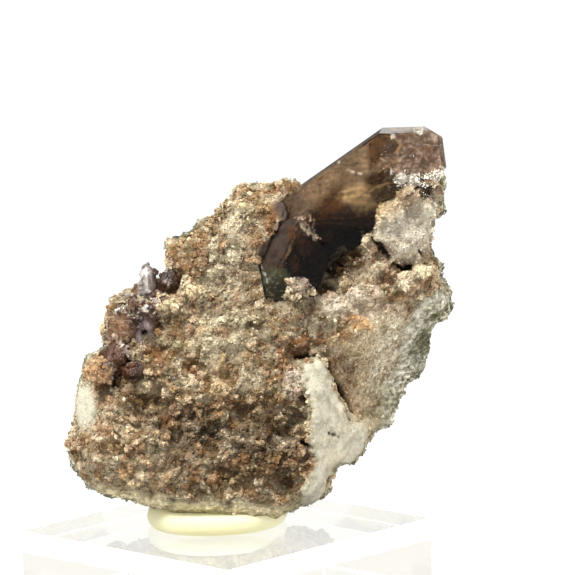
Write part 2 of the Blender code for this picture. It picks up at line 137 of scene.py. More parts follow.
# Layers of the schist, and how far apart its pale and dark bands lie
LAYER_NORMAL = np.array((0.50, 0.72, -0.48)) / math.sqrt(0.50**2 + 0.72**2 + 0.48**2)
BAND_STEP = 1.5
SLAB_STEP = 6.0

# Widths of the crust's clumps and of the knobs on them
CLUMP = 2.5
KNOB = 1.15


def paint(red, green, blue):
    """A colour as the eye reads it, 0 to 255, turned into light amounts."""
    shares = [value / 255.0 for value in (red, green, blue)]
    return tuple(
        share / 12.92 if share <= 0.04045 else ((share + 0.055) / 1.055) ** 2.4 for share in shares
    )


# Rock colours
TAN = paint(206, 180, 136)
BROWN = paint(150, 118, 78)
RUST = paint(142, 96, 60)
CREAM = paint(222, 206, 174)
GREEN_WHITE = paint(214, 206, 170)
SCHIST_PALE = paint(230, 224, 202)
SCHIST_GREEN = paint(166, 160, 128)
SCHIST_DARK = paint(70, 68, 44)
VEIN_WHITE = paint(190, 184, 162)
VEIN_SHADE = paint(140, 132, 112)
VEIN_GREY = paint(164, 160, 142)
PINK_WHITE = paint(226, 212, 196)
WHITE_CRUST = paint(222, 216, 202)
SMOOTH_PAINT = paint(232, 229, 216)
# the foot's pale beige, painted paler to stand in for light from below
FOOT_LIT_BEIGE = paint(254, 238, 196)
# painted glints
GLINT_PAINT = paint(226, 206, 182)
SMOKE = paint(84, 56, 36)
MOSS = paint(120, 114, 82)
# painted shade, laid in the seams between clumps, in hollows and in cracks
PAINTED_SHADE = paint(40, 28, 16)
# painted shade on the rock under the crystals, seen through them
SHADED_POCKET = paint(44, 30, 20)
FREE_END = paint(86, 71, 61)


def placed(x, y, z):
    """A point of the stone's frame, in the scene."""
    return FOOT + STANCE @ (Vector((x, y, z)) * MM)


def in_stone(points):
    """Scene points as millimetres in the stone's frame."""
    return (points - np.array(FOOT)) @ np.array(STANCE) / MM


def from_stone(points):
    return (points * MM) @ np.array(STANCE).T + np.array(FOOT)


def read_vertices(mesh, what):
    flat = np.empty(len(mesh.vertices) * 3, np.float32)
    mesh.vertices.foreach_get(what, flat)
    return flat.reshape(-1, 3).astype(float)


def write_places(mesh, places):
    mesh.vertices.foreach_set("co", places.astype(np.float32).ravel())
    mesh.update()


def write_values(mesh, name, values):
    """One number or one colour for each vertex."""
    if values.ndim == 1:
        layer = mesh.attributes.new(name, "FLOAT", "POINT")
        layer.data.foreach_set("value", values.astype(np.float32))
        return
    layer = mesh.attributes.new(name, "FLOAT_COLOR", "POINT")
    full = np.ones((len(values), 4), np.float32)
    full[:, :3] = values
    layer.data.foreach_set("color", full.ravel())


def add_piece(name, mesh):
    piece = bpy.data.objects.new(name, mesh)
    bpy.context.scene.collection.objects.link(piece)
    return piece


def finished(piece, name=None):
    """The piece with its modifiers made real in a plain mesh of its own."""
    graph = bpy.context.evaluated_depsgraph_get()
    mesh = bpy.data.meshes.new_from_object(piece.evaluated_get(graph))
    piece.modifiers.clear()
    if name:
        return add_piece(name, mesh)
    piece.data = mesh
    return piece


def merged_copy(node, name, flat_angle=0.0):
    """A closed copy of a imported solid. Faces flatter to each other than the angle are joined."""
    bm = bmesh.new()
    bm.from_mesh(frame["nodes"][node].data)
    bmesh.ops.remove_doubles(bm, verts=bm.verts, dist=1e-6)
    if flat_angle:
        bmesh.ops.dissolve_limit(
            bm, angle_limit=math.radians(flat_angle), verts=bm.verts, edges=bm.edges
        )
    bm.verts.index_update()
    places = [vertex.co.copy() for vertex in bm.verts]
    faces = [[vertex.index for vertex in face.verts] for face in bm.faces]
    bm.free()
    mesh = bpy.data.meshes.new(name)
    mesh.from_pydata(places, [], faces)
    return add_piece(name, mesh)


def smoothstep(low, high, values):
    share = np.clip((values - low) / (high - low), 0.0, 1.0)
    return share * share * (3.0 - 2.0 * share)


def noise_at(places, size, start=0.0):
    """Smooth noise from about -1 to 1 at places in millimetres."""
    shift = Vector((start, start * 0.7, -start))
    return np.array([noise.noise(Vector(place) / size + shift) for place in places])


def warped(places, size, reach):
    """Places pushed about by noise, so that what is drawn on them gets uneven edges."""
    pushes = [noise_at(places, size, start) for start in (20.0, 41.0, 63.0)]
    return places + reach * np.stack(pushes, axis=1)


def clumps_at(places, size):
    """Close-packed rounded clumps: 0 in the seams to 1 on top, and a chance for each clump."""
    heights, chances = [], []
    for place in places:
        gaps, middles = noise.voronoi(Vector(place) / size)
        heights.append(gaps[1] - gaps[0])
        chances.append(0.5 + 0.5 * noise.cell(middles[0] * 7.3))
    return smoothstep(0.0, 0.75, np.array(heights)), np.array(chances)


def outline_depth(places, ring):
    """How deep points of the show side lie inside an outline, negative outside."""
    x, z = places[:, 0], places[:, 2]
    inside = np.zeros(len(places), bool)
    nearest = np.full(len(places), 1e9)
    for (ax, az), (bx, bz) in zip(ring, ring[1:] + ring[:1]):
        run = np.array((bx - ax, bz - az))
        share = ((x - ax) * run[0] + (z - az) * run[1]) / run.dot(run)
        share = np.clip(share, 0.0, 1.0)
        away = np.hypot(x - ax - share * run[0], z - az - share * run[1])
        nearest = np.minimum(nearest, away)
        if az != bz:
            crosses = (az > z) != (bz > z)
            inside ^= crosses & (x < ax + (z - az) * run[0] / run[1])
    return np.where(inside, nearest, -nearest)


def spot(places, middle, half, turn=0.0):
    """A soft round patch on the show side: 1 in its middle, 0 past its half sizes."""
    x, z = places[:, 0] - middle[0], places[:, 2] - middle[1]
    side, rise = math.cos(math.radians(turn)), math.sin(math.radians(turn))
    along = (x * side + z * rise) / half[0]
    across = (z * side - x * rise) / half[1]
    return smoothstep(1.15, 0.55, np.hypot(along, across))


def crack(places, points, width):
    """A thin line through points of the show side: 1 on it, 0 past its width."""
    nearest = np.full(len(places), 1e9)
    x, z = places[:, 0], places[:, 2]
    for (ax, az), (bx, bz) in zip(points, points[1:]):
        run = np.array((bx - ax, bz - az))
        share = np.clip(((x - ax) * run[0] + (z - az) * run[1]) / run.dot(run), 0.0, 1.0)
        nearest = np.minimum(nearest, np.hypot(x - ax - share * run[0], z - az - share * run[1]))
    return smoothstep(width, width * 0.3, nearest)


def mixed(base, share, colour):
    """Colours drawn towards another by a share for each vertex."""
    return base + (np.array(colour) - base) * np.clip(share, 0.0, 1.0)[:, None]


# Colour patches on the show side, a few of them painted shade as marked: middle (x, z), half sizes, turn,
# colour, strength
PATCHES = (
    # the first two are painted shadow under the cream lumps
    ((-11.4, 35.0), (3.6, 1.1), 0, paint(84, 64, 42), 0.8),
    ((-6.6, 37.6), (2.4, 0.8), 0, paint(96, 74, 48), 0.7),
    ((-1.5, 42.0), (5.4, 15.0), 0, paint(212, 206, 176), 0.75),
    ((-3.0, 31.0), (5.0, 6.0), 0, GREEN_WHITE, 0.5),
    ((20.0, 37.0), (8.0, 2.8), -6, paint(242, 230, 206), 0.95),
    ((22.6, 27.0), (5.4, 8.6), -14, paint(230, 216, 184), 0.85),
    ((-18.2, 36.0), (4.4, 8.0), 15, paint(80, 56, 44), 0.85),
    ((1.0, 12.5), (15.0, 12.0), 0, paint(146, 118, 84), 0.55),
    ((-20.0, 12.0), (9.0, 9.0), 0, paint(228, 204, 164), 0.6),
    ((9.0, 31.0), (9.0, 8.0), 0, paint(100, 80, 52), 0.88),
    ((-4.8, 44.0), (3.0, 3.4), 0, GREEN_WHITE, 0.8),
    ((5.1, 35.3), (6.5, 4.4), 20, GREEN_WHITE, 0.48),
    ((-1.7, 29.8), (3.0, 3.0), 0, GREEN_WHITE, 0.6),
    ((3.0, 48.0), (3.0, 6.5), 10, CREAM, 0.5),
    ((-11.8, 38.2), (3.0, 2.4), -20, CREAM, 0.9),
    ((-8.2, 39.8), (2.0, 1.8), 0, CREAM, 0.8),
    ((-25.8, 20.4), (2.2, 4.8), 0, paint(228, 226, 208), 0.95),
    ((-20.5, 18.0), (3.0, 3.6), 30, CREAM, 0.5),
    ((-12.4, 20.2), (2.6, 2.6), 0, RUST, 0.8),
    # painted shade along the recess band below the main face
    ((-2.0, 15.6), (11.0, 3.0), -6, paint(96, 78, 54), 0.75),
    ((-27.4, 14.2), (2.6, 4.6), 0, BROWN, 0.7),
    ((-23.0, 10.0), (4.0, 3.0), 0, CREAM, 0.45),
    ((4.4, 9.0), (6.0, 5.0), 20, paint(126, 100, 70), 0.6),
    ((8.6, 14.0), (3.0, 6.0), 0, paint(116, 88, 62), 0.7),
    ((9.8, 24.4), (2.3, 4.0), 0, PINK_WHITE, 1.0),
    ((10.2, 18.6), (1.9, 2.4), 0, GREEN_WHITE, 0.8),
    ((20.8, 34.6), (2.8, 1.5), -20, paint(210, 156, 92), 0.85),
    ((25.8, 28.0), (3.2, 8.8), -14, paint(242, 238, 218), 0.95),
    ((17.8, 26.0), (2.2, 5.6), 30, paint(150, 118, 88), 0.75),
    ((19.8, 21.0), (1.4, 3.0), 30, paint(130, 102, 72), 0.6),
    ((27.0, 36.6), (4.0, 1.6), 30, CREAM, 0.6),
    ((20.4, 39.8), (1.9, 1.7), 0, PINK_WHITE, 0.95),
    ((24.2, 40.4), (1.8, 1.5), 0, PINK_WHITE, 0.95),
    ((27.4, 41.4), (1.6, 1.6), 0, PINK_WHITE, 0.95),
    # a dark red-brown hollow, its colour darkened with painted shade
    ((25.4, 41.4), (2.4, 1.8), -20, paint(112, 66, 42), 0.85),
    ((21.6, 44.6), (2.4, 2.0), 30, paint(150, 112, 78), 0.7),
    ((28.0, 48.6), (6.6, 5.6), 30, paint(204, 199, 182), 0.95),
    ((31.6, 53.8), (4.2, 5.4), 0, paint(212, 206, 188), 0.85),
    ((28.6, 55.6), (4.6, 2.4), 25, paint(176, 150, 116), 0.75),
    ((32.4, 58.4), (2.6, 1.5), 15, CREAM, 0.9),
    ((31.2, 43.0), (3.0, 2.2), 0, paint(224, 210, 180), 0.95),
    ((31.2, 40.6), (2.8, 1.0), 28, paint(196, 142, 92), 0.95),
    ((10.6, 41.0), (2.6, 2.4), 0, PINK_WHITE, 0.95),
    ((-22.6, 26.6), (3.2, 3.0), 0, paint(182, 140, 100), 0.8),
)

# Painted shade in hollows of the show side: middle (x, z), half sizes, turn, strength
SHADED_HOLLOWS = (
    ((-21.4, 23.4), (3.0, 1.0), -20, 0.8),
    ((17.0, 45.0), (5.0, 3.0), 30, 0.7),
    ((-20.0, 25.0), (2.2, 1.6), 40, 0.85),
    ((-5.0, 15.4), (1.8, 1.4), 0, 0.9),
    ((4.0, 12.0), (1.6, 1.4), 0, 0.85),
    ((6.6, 14.8), (1.5, 1.6), 0, 0.8),
    ((8.2, 7.2), (1.3, 1.4), 0, 0.7),
    ((28.4, 43.5), (0.9, 0.7), 20, 1.0),
    ((15.4, 42.6), (4.4, 3.0), 40, 0.85),
    ((20.0, 44.4), (4.0, 2.0), 20, 0.6),
    ((6.4, 31.4), (1.6, 1.2), 0, 0.6),
    ((11.6, 34.4), (1.6, 1.0), 20, 0.6),
    ((13.6, 30.4), (1.3, 1.0), 0, 0.55),
    ((3.2, 27.2), (1.5, 1.1), 0, 0.55),
)

# Low swells and hollows of the whole skin: middle (x, z), half sizes, turn, rise
SWELLS = (
    ((25.4, 41.8), (2.2, 1.2), -20, -1.0),
    ((9.6, 24.4), (2.2, 4.0), 0, 0.6),
    ((-3.6, 55.4), (4.4, 3.6), -40, -1.1),
    ((-10.4, 50.8), (3.4, 2.6), -20, -1.4),
    ((36.2, 41.0), (2.6, 3.6), 0, -0.7),
    ((17.4, 8.4), (2.6, 2.6), 40, -0.7),
    ((26.0, 18.0), (3.0, 3.0), 0, 0.5),
)

# Round lumps of crust on the show side: middle (x, z), half sizes (x, y, z), colour
LUMPS = (
    ((-12.2, 38.0), (2.3, 2.2, 1.9), paint(232, 214, 172)),
    ((-7.4, 39.9), (1.8, 1.7, 1.2), paint(226, 206, 164)),
    ((-23.2, 26.6), (2.8, 2.4, 2.5), paint(190, 148, 106)),
    ((20.2, 39.6), (1.4, 1.4, 1.1), paint(230, 210, 184)),
    ((23.8, 39.4), (1.3, 1.3, 1.0), paint(230, 210, 184)),
    ((28.2, 41.4), (1.5, 1.5, 1.3), paint(226, 212, 182)),
    ((31.2, 43.2), (2.3, 1.8, 1.5), paint(230, 216, 180)),
)

# Where the crystal's lower end stands free of the rock, and how far the rock stands back
FREE_OUTLINE = (
    (5.4, 55.0), (7.6, 57.0), (11.0, 58.4), (13.0, 52.0), (9.0, 46.0), (4.6, 43.4),
    (3.4, 46.4), (6.8, 52.4),
)
FREE_DEPTH = 0.8
LUMP_REACH = 0.3

# Cracks, cut into the skin and darkened with painted shade: points (x, z) and width
CRACKS = (
    (((23.4, 48.0), (24.4, 47.2), (24.8, 46.2), (25.6, 45.6)), 0.55),
    (((31.0, 46.6), (31.8, 45.8)), 0.4),
    (((26.6, 44.4), (28.0, 43.6), (29.2, 43.9)), 0.45),
    (((34.6, 58.6), (31.6, 57.6), (30.0, 56.2), (28.4, 55.2)), 0.3),
    (((15.4, 15.9), (16.2, 15.5), (17.1, 15.3)), 0.22),
    (((-20.6, 16.2), (-19.8, 15.2), (-19.2, 14.6)), 0.3),
    (((-12.0, 4.4), (-10.8, 4.0), (-9.0, 3.6)), 0.3),
    (((10.0, 28.8), (11.6, 29.3), (13.4, 29.2)), 0.35),
    (((15.8, 27.4), (17.0, 24.6), (18.6, 21.0), (19.8, 19.2)), 0.45),
    (((10.8, 22.2), (11.2, 20.6)), 0.45),
    (((11.2, 14.6), (11.8, 12.8)), 0.5),
)


# Where small shards of quartz grow among the left crystals: middle (x, z), half sizes, turn
CLUSTER_ZONES = (
    ((-15.4, 40.6), (3.6, 2.2), 0),
    ((-17.4, 36.6), (4.6, 3.0), 20),
    ((-20.2, 30.6), (3.0, 5.0), -15),
)

# Haze inside the main crystals: middle (x, z), half sizes, turn, colour, thickness
ETCHED_ZONES = (
    ((31.6, 63.0), (4.6, 5.2), 0),
    ((26.6, 61.0), (2.2, 2.2), 0),
    ((33.6, 66.4), (2.0, 1.6), -40),
)
WHITE_ZONES = (
    ((28.8, 58.6), (2.6, 1.4), 15),
    ((33.0, 59.2), (2.8, 1.3), 30),
    ((30.9, 67.2), (1.0, 0.9), 0),
)
SEAM_ZONES = (
    ((11.0, 51.8), (0.7, 1.8), 25),
    ((13.2, 49.2), (1.4, 0.6), -25),
)
# Haze zones by outline: ring, colour, thickness, softness. The pale upper zones are partly the smoky tone and
# partly painted light off and through the upper faces; the near-black lower zones are painted shade where the
# crystal's underside faces the shaded rock.
MAIN_ZONES = (
    (((5.7, 54.7), (9.5, 57.0), (25.6, 67.8), (28.0, 64.9), (19.1, 53.2), (10.6, 52.7)),
     paint(168, 146, 118), 0.62, 1.0),
    (((9.5, 56.4), (24.6, 66.6), (21.8, 65.0), (20.2, 63.4), (15.8, 60.0), (12.4, 58.2)),
     paint(178, 158, 132), 0.6, 0.6),
    (((20.1, 64.3), (21.8, 65.0), (22.2, 60.1), (21.0, 59.2)), paint(178, 154, 124), 0.7, 0.3),
    (((21.9, 65.1), (24.2, 67.1), (27.9, 64.9), (27.0, 63.5), (25.2, 62.5), (22.3, 60.5)),
     paint(98, 72, 48), 0.8, 0.5),
    (((15.8, 60.5), (20.2, 64.1), (21.0, 59.2), (19.1, 57.2), (17.3, 56.5)),
     paint(164, 140, 112), 0.6, 0.5),
    (((14.4, 56.5), (18.0, 58.3), (18.0, 55.8), (20.9, 53.8), (20.2, 52.1), (12.6, 52.9)),
     paint(98, 70, 44), 0.84, 1.2),
    (((21.0, 59.2), (23.8, 60.5), (27.0, 62.3), (27.4, 60.1), (27.0, 57.2), (23.8, 55.4),
      (22.3, 56.5)), paint(76, 55, 36), 0.88, 0.8),
    (((11.9, 53.4), (24.4, 54.4), (25.1, 51.0), (13.0, 50.4)), paint(54, 35, 22), 0.95, 1.3),
    (((12.6, 51.4), (25.4, 51.6), (27.8, 48.5), (19.4, 43.9), (13.1, 40.4), (11.1, 49.2)),
     paint(14, 7, 3), 0.98, 1.6),
    (((17.4, 55.6), (20.6, 57.8), (22.0, 57.0), (22.6, 55.6), (24.1, 54.2), (20.9, 53.2)),
     paint(196, 168, 126), 0.75, 1.1),
    (((27.0, 63.5), (28.1, 64.9), (25.8, 67.8), (32.1, 69.1), (36.5, 66.3), (37.3, 62.3),
      (34.8, 60.0), (31.0, 57.0), (27.0, 58.7), (25.2, 60.1)), paint(128, 102, 78), 0.85, 0.9),
    (((35.0, 64.4), (35.2, 66.6), (37.1, 62.5), (34.8, 60.6), (34.2, 61.5)),
     paint(206, 184, 166), 0.85, 0.2),
    # these two grey-violet faces of the lower crystal: their own tone with a painted sheen
    (((5.0, 55.4), (9.5, 57.6), (10.7, 55.4), (10.6, 52.7), (6.8, 52.1)),
     paint(98, 82, 70), 0.88, 0.5),
    (((6.4, 52.4), (10.4, 52.9), (9.4, 50.0), (7.8, 45.6), (6.4, 44.0), (4.2, 42.3), (1.1, 46.0)),
     paint(84, 73, 68), 0.92, 0.4),
    (((2.9, 43.4), (6.4, 44.0), (8.9, 44.2), (12.7, 38.4), (5.0, 35.1)),
     paint(80, 84, 64), 0.95, 0.6),
    (((8.3, 47.9), (11.1, 49.4), (16.5, 45.6), (14.0, 41.0), (11.1, 39.1), (9.5, 42.0),
      (7.8, 44.5)), paint(18, 10, 5), 0.98, 0.5),
    (((27.0, 59.7), (28.1, 60.3), (29.0, 59.2), (30.1, 60.0), (31.2, 58.5), (29.9, 57.7),
      (29.0, 56.8), (27.9, 57.7), (26.5, 58.5)), paint(255, 252, 242), 1.0, 0.2),
)
# Haze patches: middle (x, z), half sizes, turn, colour, thickness; the near-black ones low in the crystal are
# painted shade
MAIN_HAZE = (
    ((13.6, 58.0), (4.2, 2.4), 34, paint(172, 146, 116), 0.6),
    ((9.6, 55.0), (2.4, 2.0), 0, paint(122, 104, 88), 0.8),
    ((23.6, 57.0), (1.6, 1.0), 20, paint(98, 86, 50), 0.85),
    ((24.6, 59.6), (1.6, 0.9), 40, paint(64, 40, 20), 0.9),
    ((9.0, 49.6), (0.8, 1.8), 10, paint(110, 76, 50), 0.9),
    ((11.4, 47.4), (1.6, 1.8), 30, paint(58, 36, 22), 0.95),
    ((14.8, 49.0), (2.2, 1.0), 20, paint(52, 32, 18), 0.95),
    ((9.8, 44.6), (1.0, 2.0), 0, paint(52, 36, 24), 0.95),
    ((29.6, 66.8), (2.0, 0.8), -10, paint(122, 92, 72), 0.85),
    ((31.6, 63.4), (2.4, 1.8), 20, paint(132, 98, 74), 0.85),
    ((31.2, 67.6), (1.3, 0.6), -10, paint(244, 240, 232), 1.0),
    ((33.6, 66.2), (0.7, 1.0), 30, paint(236, 226, 212), 0.9),
    ((33.6, 60.6), (1.6, 0.9), 30, paint(178, 146, 120), 0.9),
)
MAIN_THREADS = (
    # the first is a painted highlight along the crystal's upper edge
    (((9.0, 56.9), (16.6, 61.9), (25.3, 67.6)), 0.3, paint(196, 184, 168)),
    (((24.2, 62.4), (25.0, 61.8)), 0.26, paint(214, 194, 172)),
    (((25.0, 61.0), (25.9, 61.5)), 0.26, paint(222, 204, 184)),
    (((26.0, 62.8), (26.6, 61.8)), 0.24, paint(206, 184, 160)),
    (((27.2, 62.4), (28.2, 61.9)), 0.26, paint(222, 204, 184)),
    (((28.4, 61.0), (29.4, 61.5)), 0.26, paint(226, 210, 192)),
    (((26.2, 60.2), (27.2, 60.6)), 0.26, paint(226, 210, 192)),
    (((30.2, 62.6), (31.2, 61.4)), 0.22, paint(206, 184, 164)),
    (((24.2, 67.0), (26.3, 66.0), (28.0, 64.9), (27.1, 63.5)), 0.35, paint(206, 164, 110)),
    (((18.0, 60.6), (19.4, 60.2), (21.0, 59.8)), 0.28, paint(255, 250, 238)),
    (((17.3, 56.5), (19.1, 57.2), (20.6, 57.5)), 0.45, paint(204, 178, 134)),
    (((18.0, 55.9), (20.2, 56.2), (22.2, 55.9)), 0.45, paint(206, 178, 126)),
    (((19.1, 55.0), (21.2, 54.8), (23.4, 54.3)), 0.45, paint(196, 166, 116)),
    (((22.3, 56.6), (23.4, 57.2), (25.2, 57.9), (27.2, 58.5)), 0.35, paint(170, 140, 98)),
    (((23.8, 60.1), (25.6, 61.5), (27.4, 62.3)), 0.22, paint(172, 132, 92)),
    (((6.0, 54.6), (8.2, 52.2), (10.6, 52.6)), 0.2, paint(58, 42, 36)),
    (((9.3, 49.6), (7.7, 45.8), (6.6, 44.2)), 0.3, paint(74, 50, 40)),
    # these two are painted glints along the sparkling band at the crystal's edge
    (((10.6, 52.7), (11.5, 50.7), (13.3, 48.8)), 0.55, paint(214, 196, 168)),
    (((10.0, 52.6), (10.8, 50.9), (12.4, 49.2)), 0.2, paint(250, 244, 230)),
    (((8.0, 45.6), (8.6, 46.7), (8.9, 47.8)), 0.2, paint(140, 118, 90)),
    (((3.6, 44.9), (4.3, 43.1), (5.4, 42.0)), 0.24, paint(214, 222, 222)),
    (((4.2, 43.8), (4.8, 42.4), (5.0, 41.3)), 0.2, paint(214, 222, 222)),
    (((13.6, 52.3), (18.0, 52.1), (23.1, 52.5)), 0.22, paint(74, 52, 34)),
    (((14.0, 51.4), (18.3, 51.1), (23.2, 51.2)), 0.2, paint(62, 42, 28)),
    (((15.1, 53.2), (18.0, 53.0), (20.9, 53.2)), 0.2, paint(92, 66, 44)),
    (((33.2, 66.3), (34.1, 64.1), (34.6, 61.9)), 0.24, paint(214, 190, 168)),
    (((25.8, 67.4), (28.8, 66.9), (31.0, 67.0)), 0.24, paint(190, 168, 150)),
    (((27.4, 63.4), (27.0, 61.6), (27.6, 60.2)), 0.3, paint(196, 168, 140)),
    (((29.2, 64.6), (30.6, 64.0), (31.4, 62.8)), 0.2, paint(210, 186, 164)),
)

# Painted glints: bright specks in the worn and fractured zones, with smoky flecks among them: middle (x, z),
# half sizes, turn, share
MAIN_SPECKS = (
    ((31.0, 63.0), (5.0, 5.4), 0, 0.9),
    ((13.4, 57.6), (4.2, 2.0), 34, 0.35),
    ((11.6, 51.4), (1.6, 2.6), 35, 1.0),
    ((25.4, 58.6), (2.2, 2.2), 0, 0.5),
    ((7.0, 40.6), (3.0, 3.0), 0, 0.35),
)
SIDE_HAZE = (
    ((-15.9, 41.8), (1.8, 2.8), 0, paint(196, 188, 184), 0.8),
    ((-12.6, 41.6), (2.2, 2.6), 0, paint(54, 34, 26), 0.95),
    ((-15.9, 36.5), (3.0, 2.2), 0, paint(72, 56, 52), 0.9),
    ((-20.2, 33.4), (2.8, 2.6), 0, paint(140, 106, 80), 0.8),
    ((-19.9, 28.5), (2.8, 4.4), -10, paint(88, 56, 38), 0.85),
    ((-15.6, 32.4), (1.7, 2.6), 0, paint(176, 160, 156), 0.85),
)
# Painted glints on the side crystals, as above
SIDE_SPECKS = (
    ((-16.0, 36.4), (3.4, 2.6), 0, 1.0),
    ((-19.9, 30.0), (3.0, 4.4), -10, 0.5),
    ((-13.6, 41.6), (3.4, 2.6), 0, 0.4),
)
# Painted highlights along edges of the side crystals: points (x, z), width, colour
SIDE_THREADS = (
    (((-21.1, 32.4), (-20.2, 31.4), (-19.2, 30.6)), 0.3, paint(244, 226, 200)),
    (((-16.8, 37.6), (-15.4, 36.8)), 0.4, paint(240, 236, 230)),
)


def add_lumps(piece):
    """Round lumps of crust, half sunk in the show side."""
    bm = bmesh.new()
    bm.from_mesh(piece.data)
    stone = BVHTree.FromBMesh(bm)
    inward = STANCE @ Vector((0.0, 1.0, 0.0))
    for (x, z), half, _ in LUMPS:
        middle = stone.ray_cast(placed(x, -60.0, z), inward)[0]
        if middle is not None:
            middle -= inward * LUMP_REACH * half[1] * MM
            place = Matrix.LocRotScale(middle, STANCE.to_quaternion(), Vector(half) * MM)
            bmesh.ops.create_icosphere(bm, subdivisions=3, radius=1.0, matrix=place)
    bm.to_mesh(piece.data)
    bm.free()


def rock_skin(crystals):
    """The rock's fine skin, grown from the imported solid, with its colours as attributes."""
    piece = merged_copy("matrix", "rock")
    add_lumps(piece)
    even = piece.modifiers.new("even", "REMESH")
    even.mode = "VOXEL"
    even.voxel_size = ROCK_VOXEL * MM
    finished(piece)
    mesh = piece.data
    places = in_stone(read_vertices(mesh, "co"))
    facing = read_vertices(mesh, "normal") @ np.array(STANCE)

    wide = noise_at(places, 7.0)
    middling = noise_at(places, 2.6, 3.1)
    fine = noise_at(places, 1.0, 7.7)
    uneven = warped(warped(places, 2.6, 1.5), 0.9, 0.6)
    clump, clump_chance = clumps_at(uneven, CLUMP)
    knob, knob_chance = clumps_at(uneven, KNOB)
    billow = np.clip(3.2 * np.abs(noise_at(places, 1.9, 12.0)), 0.0, 1.0)
    clump = clump * (0.35 + 0.65 * billow)

    show = smoothstep(4.0, -1.0, places[:, 1] + 2.0 * wide)
    vein_depth = outline_depth(places, VEIN_OUTLINE) + 0.9 * middling + 0.6 * fine
    smooth = spot(places, SMOOTH_WHITE[0], SMOOTH_WHITE[1])
    vein = np.maximum(smoothstep(-0.4, 0.5, vein_depth), smooth) * show
    bare = smoothstep(-0.8, 0.8, outline_depth(places, BARE_OUTLINE) + 1.2 * middling)
    under = smoothstep(5.4, 2.6, places[:, 2] + 0.09 * places[:, 0] + middling)
    under *= smoothstep(15.0, 12.0, places[:, 0]) * show
    fine_grained = smoothstep(-1.2, 1.2, outline_depth(places, FINE_OUTLINE))
    crusted = show * (1.0 - vein) * (1.0 - bare) * (1.0 - under)
    schist = np.clip(1.0 - crusted - vein, 0.0, 1.0)

    deep = np.zeros(len(places))
    for middle, half, turn in DEEP_ZONES:
        deep = np.maximum(deep, spot(places, middle, half, turn))
    deep = np.clip(0.7 * deep + 0.5 * wide, 0.0, 1.0)
    white_mass = spot(places, (29.0, 50.4), (6.4, 7.4), 30)
    white_mass = np.maximum(white_mass, 0.6 * spot(places, (19.5, 37.0), (8.0, 3.2), -6)) * show
    relief = (1.0 - 0.6 * fine_grained) * (1.0 - 0.45 * white_mass) * (0.8 + 0.5 * deep)
    layer = places @ LAYER_NORMAL / BAND_STEP + 0.9 * wide + 0.35 * middling
    along = np.stack((layer * BAND_STEP, 0.2 * places[:, 0], 0.2 * places[:, 2]), axis=1)
    strata = noise_at(along, 1.5, 5.0)
    thin = noise_at(along, 0.55, 8.0)
    slab = places @ LAYER_NORMAL / SLAB_STEP + 0.8 * wide
    broken = (slab - np.floor(slab) - 0.5) * smoothstep(2.0, 8.0, places[:, 1])
    height = crusted * relief * (1.4 * (clump - 0.45) + 0.6 * (knob - 0.5) + 0.3 * fine)
    height += schist * (0.5 * strata + 0.3 * (knob - 0.5) + 0.15 * fine + 0.35 * middling)
    height += schist * (1.3 * broken + 0.3 * thin)
    upper = smoothstep(16.0, 18.0, places[:, 2])
    run = upper * (0.55 * places[:, 0] - 0.83 * places[:, 2])
    run += (1.0 - upper) * (0.62 * places[:, 0] + 0.78 * places[:, 2])
    over = upper * (0.83 * places[:, 0] + 0.55 * places[:, 2])
    over += (1.0 - upper) * (0.78 * places[:, 0] - 0.62 * places[:, 2])
    streak = noise_at(np.stack((over, 0.22 * run, places[:, 1]), axis=1), 0.9, 14.0)
    height += vein * (0.2 * fine + 0.35 * middling + 0.25 * streak)
    lines = np.zeros(len(places))
    for points, width in CRACKS:
        lines = np.maximum(lines, crack(places, points, width))
    lines *= show
    height -= 0.9 * lines
    for middle, half, turn, rise in SWELLS:
        height += rise * spot(places, middle, half, turn)
    free = smoothstep(-0.1, 0.5, outline_depth(places, FREE_OUTLINE)) * show
    height = height * (1.0 - free) - FREE_DEPTH * free

    count = len(places)
    second_chance = (clump_chance * 17.0) % 1.0
    colour = mixed(np.tile(TAN, (count, 1)), smoothstep(0.5, 0.35, clump_chance), BROWN)
    colour = mixed(colour, smoothstep(0.68, 0.78, clump_chance) * 0.6, CREAM)
    colour = mixed(colour, smoothstep(0.7, 0.8, second_chance) * 0.7, RUST)
    colour = mixed(colour, smoothstep(0.14, 0.08, second_chance) * 0.5, GREEN_WHITE)
    colour = mixed(colour, smoothstep(0.0, 0.5, wide) * 0.5, BROWN)
    colour = mixed(colour, smoothstep(0.1, 0.5, -wide) * 0.4, GREEN_WHITE)
    colour = mixed(colour, smoothstep(0.1, 0.5, middling) * 0.35, CREAM)
    for middle, half, turn, tint, strength in PATCHES:
        share = spot(places, middle, half, turn) * strength
        colour = mixed(colour, share * (0.85 + 0.5 * fine) * show, tint)
    own = (1.0 - 0.8 * white_mass) * (1.0 - 0.5 * fine_grained) * (1.0 - 0.5 * deep)
    colour = mixed(colour, smoothstep(0.4, 0.28, clump_chance) * 0.6 * own, BROWN)
    colour = mixed(colour, smoothstep(0.66, 0.76, clump_chance) * 0.6 * own, CREAM)
    colour = mixed(colour, smoothstep(0.78, 0.86, second_chance) * 0.5 * own, RUST)
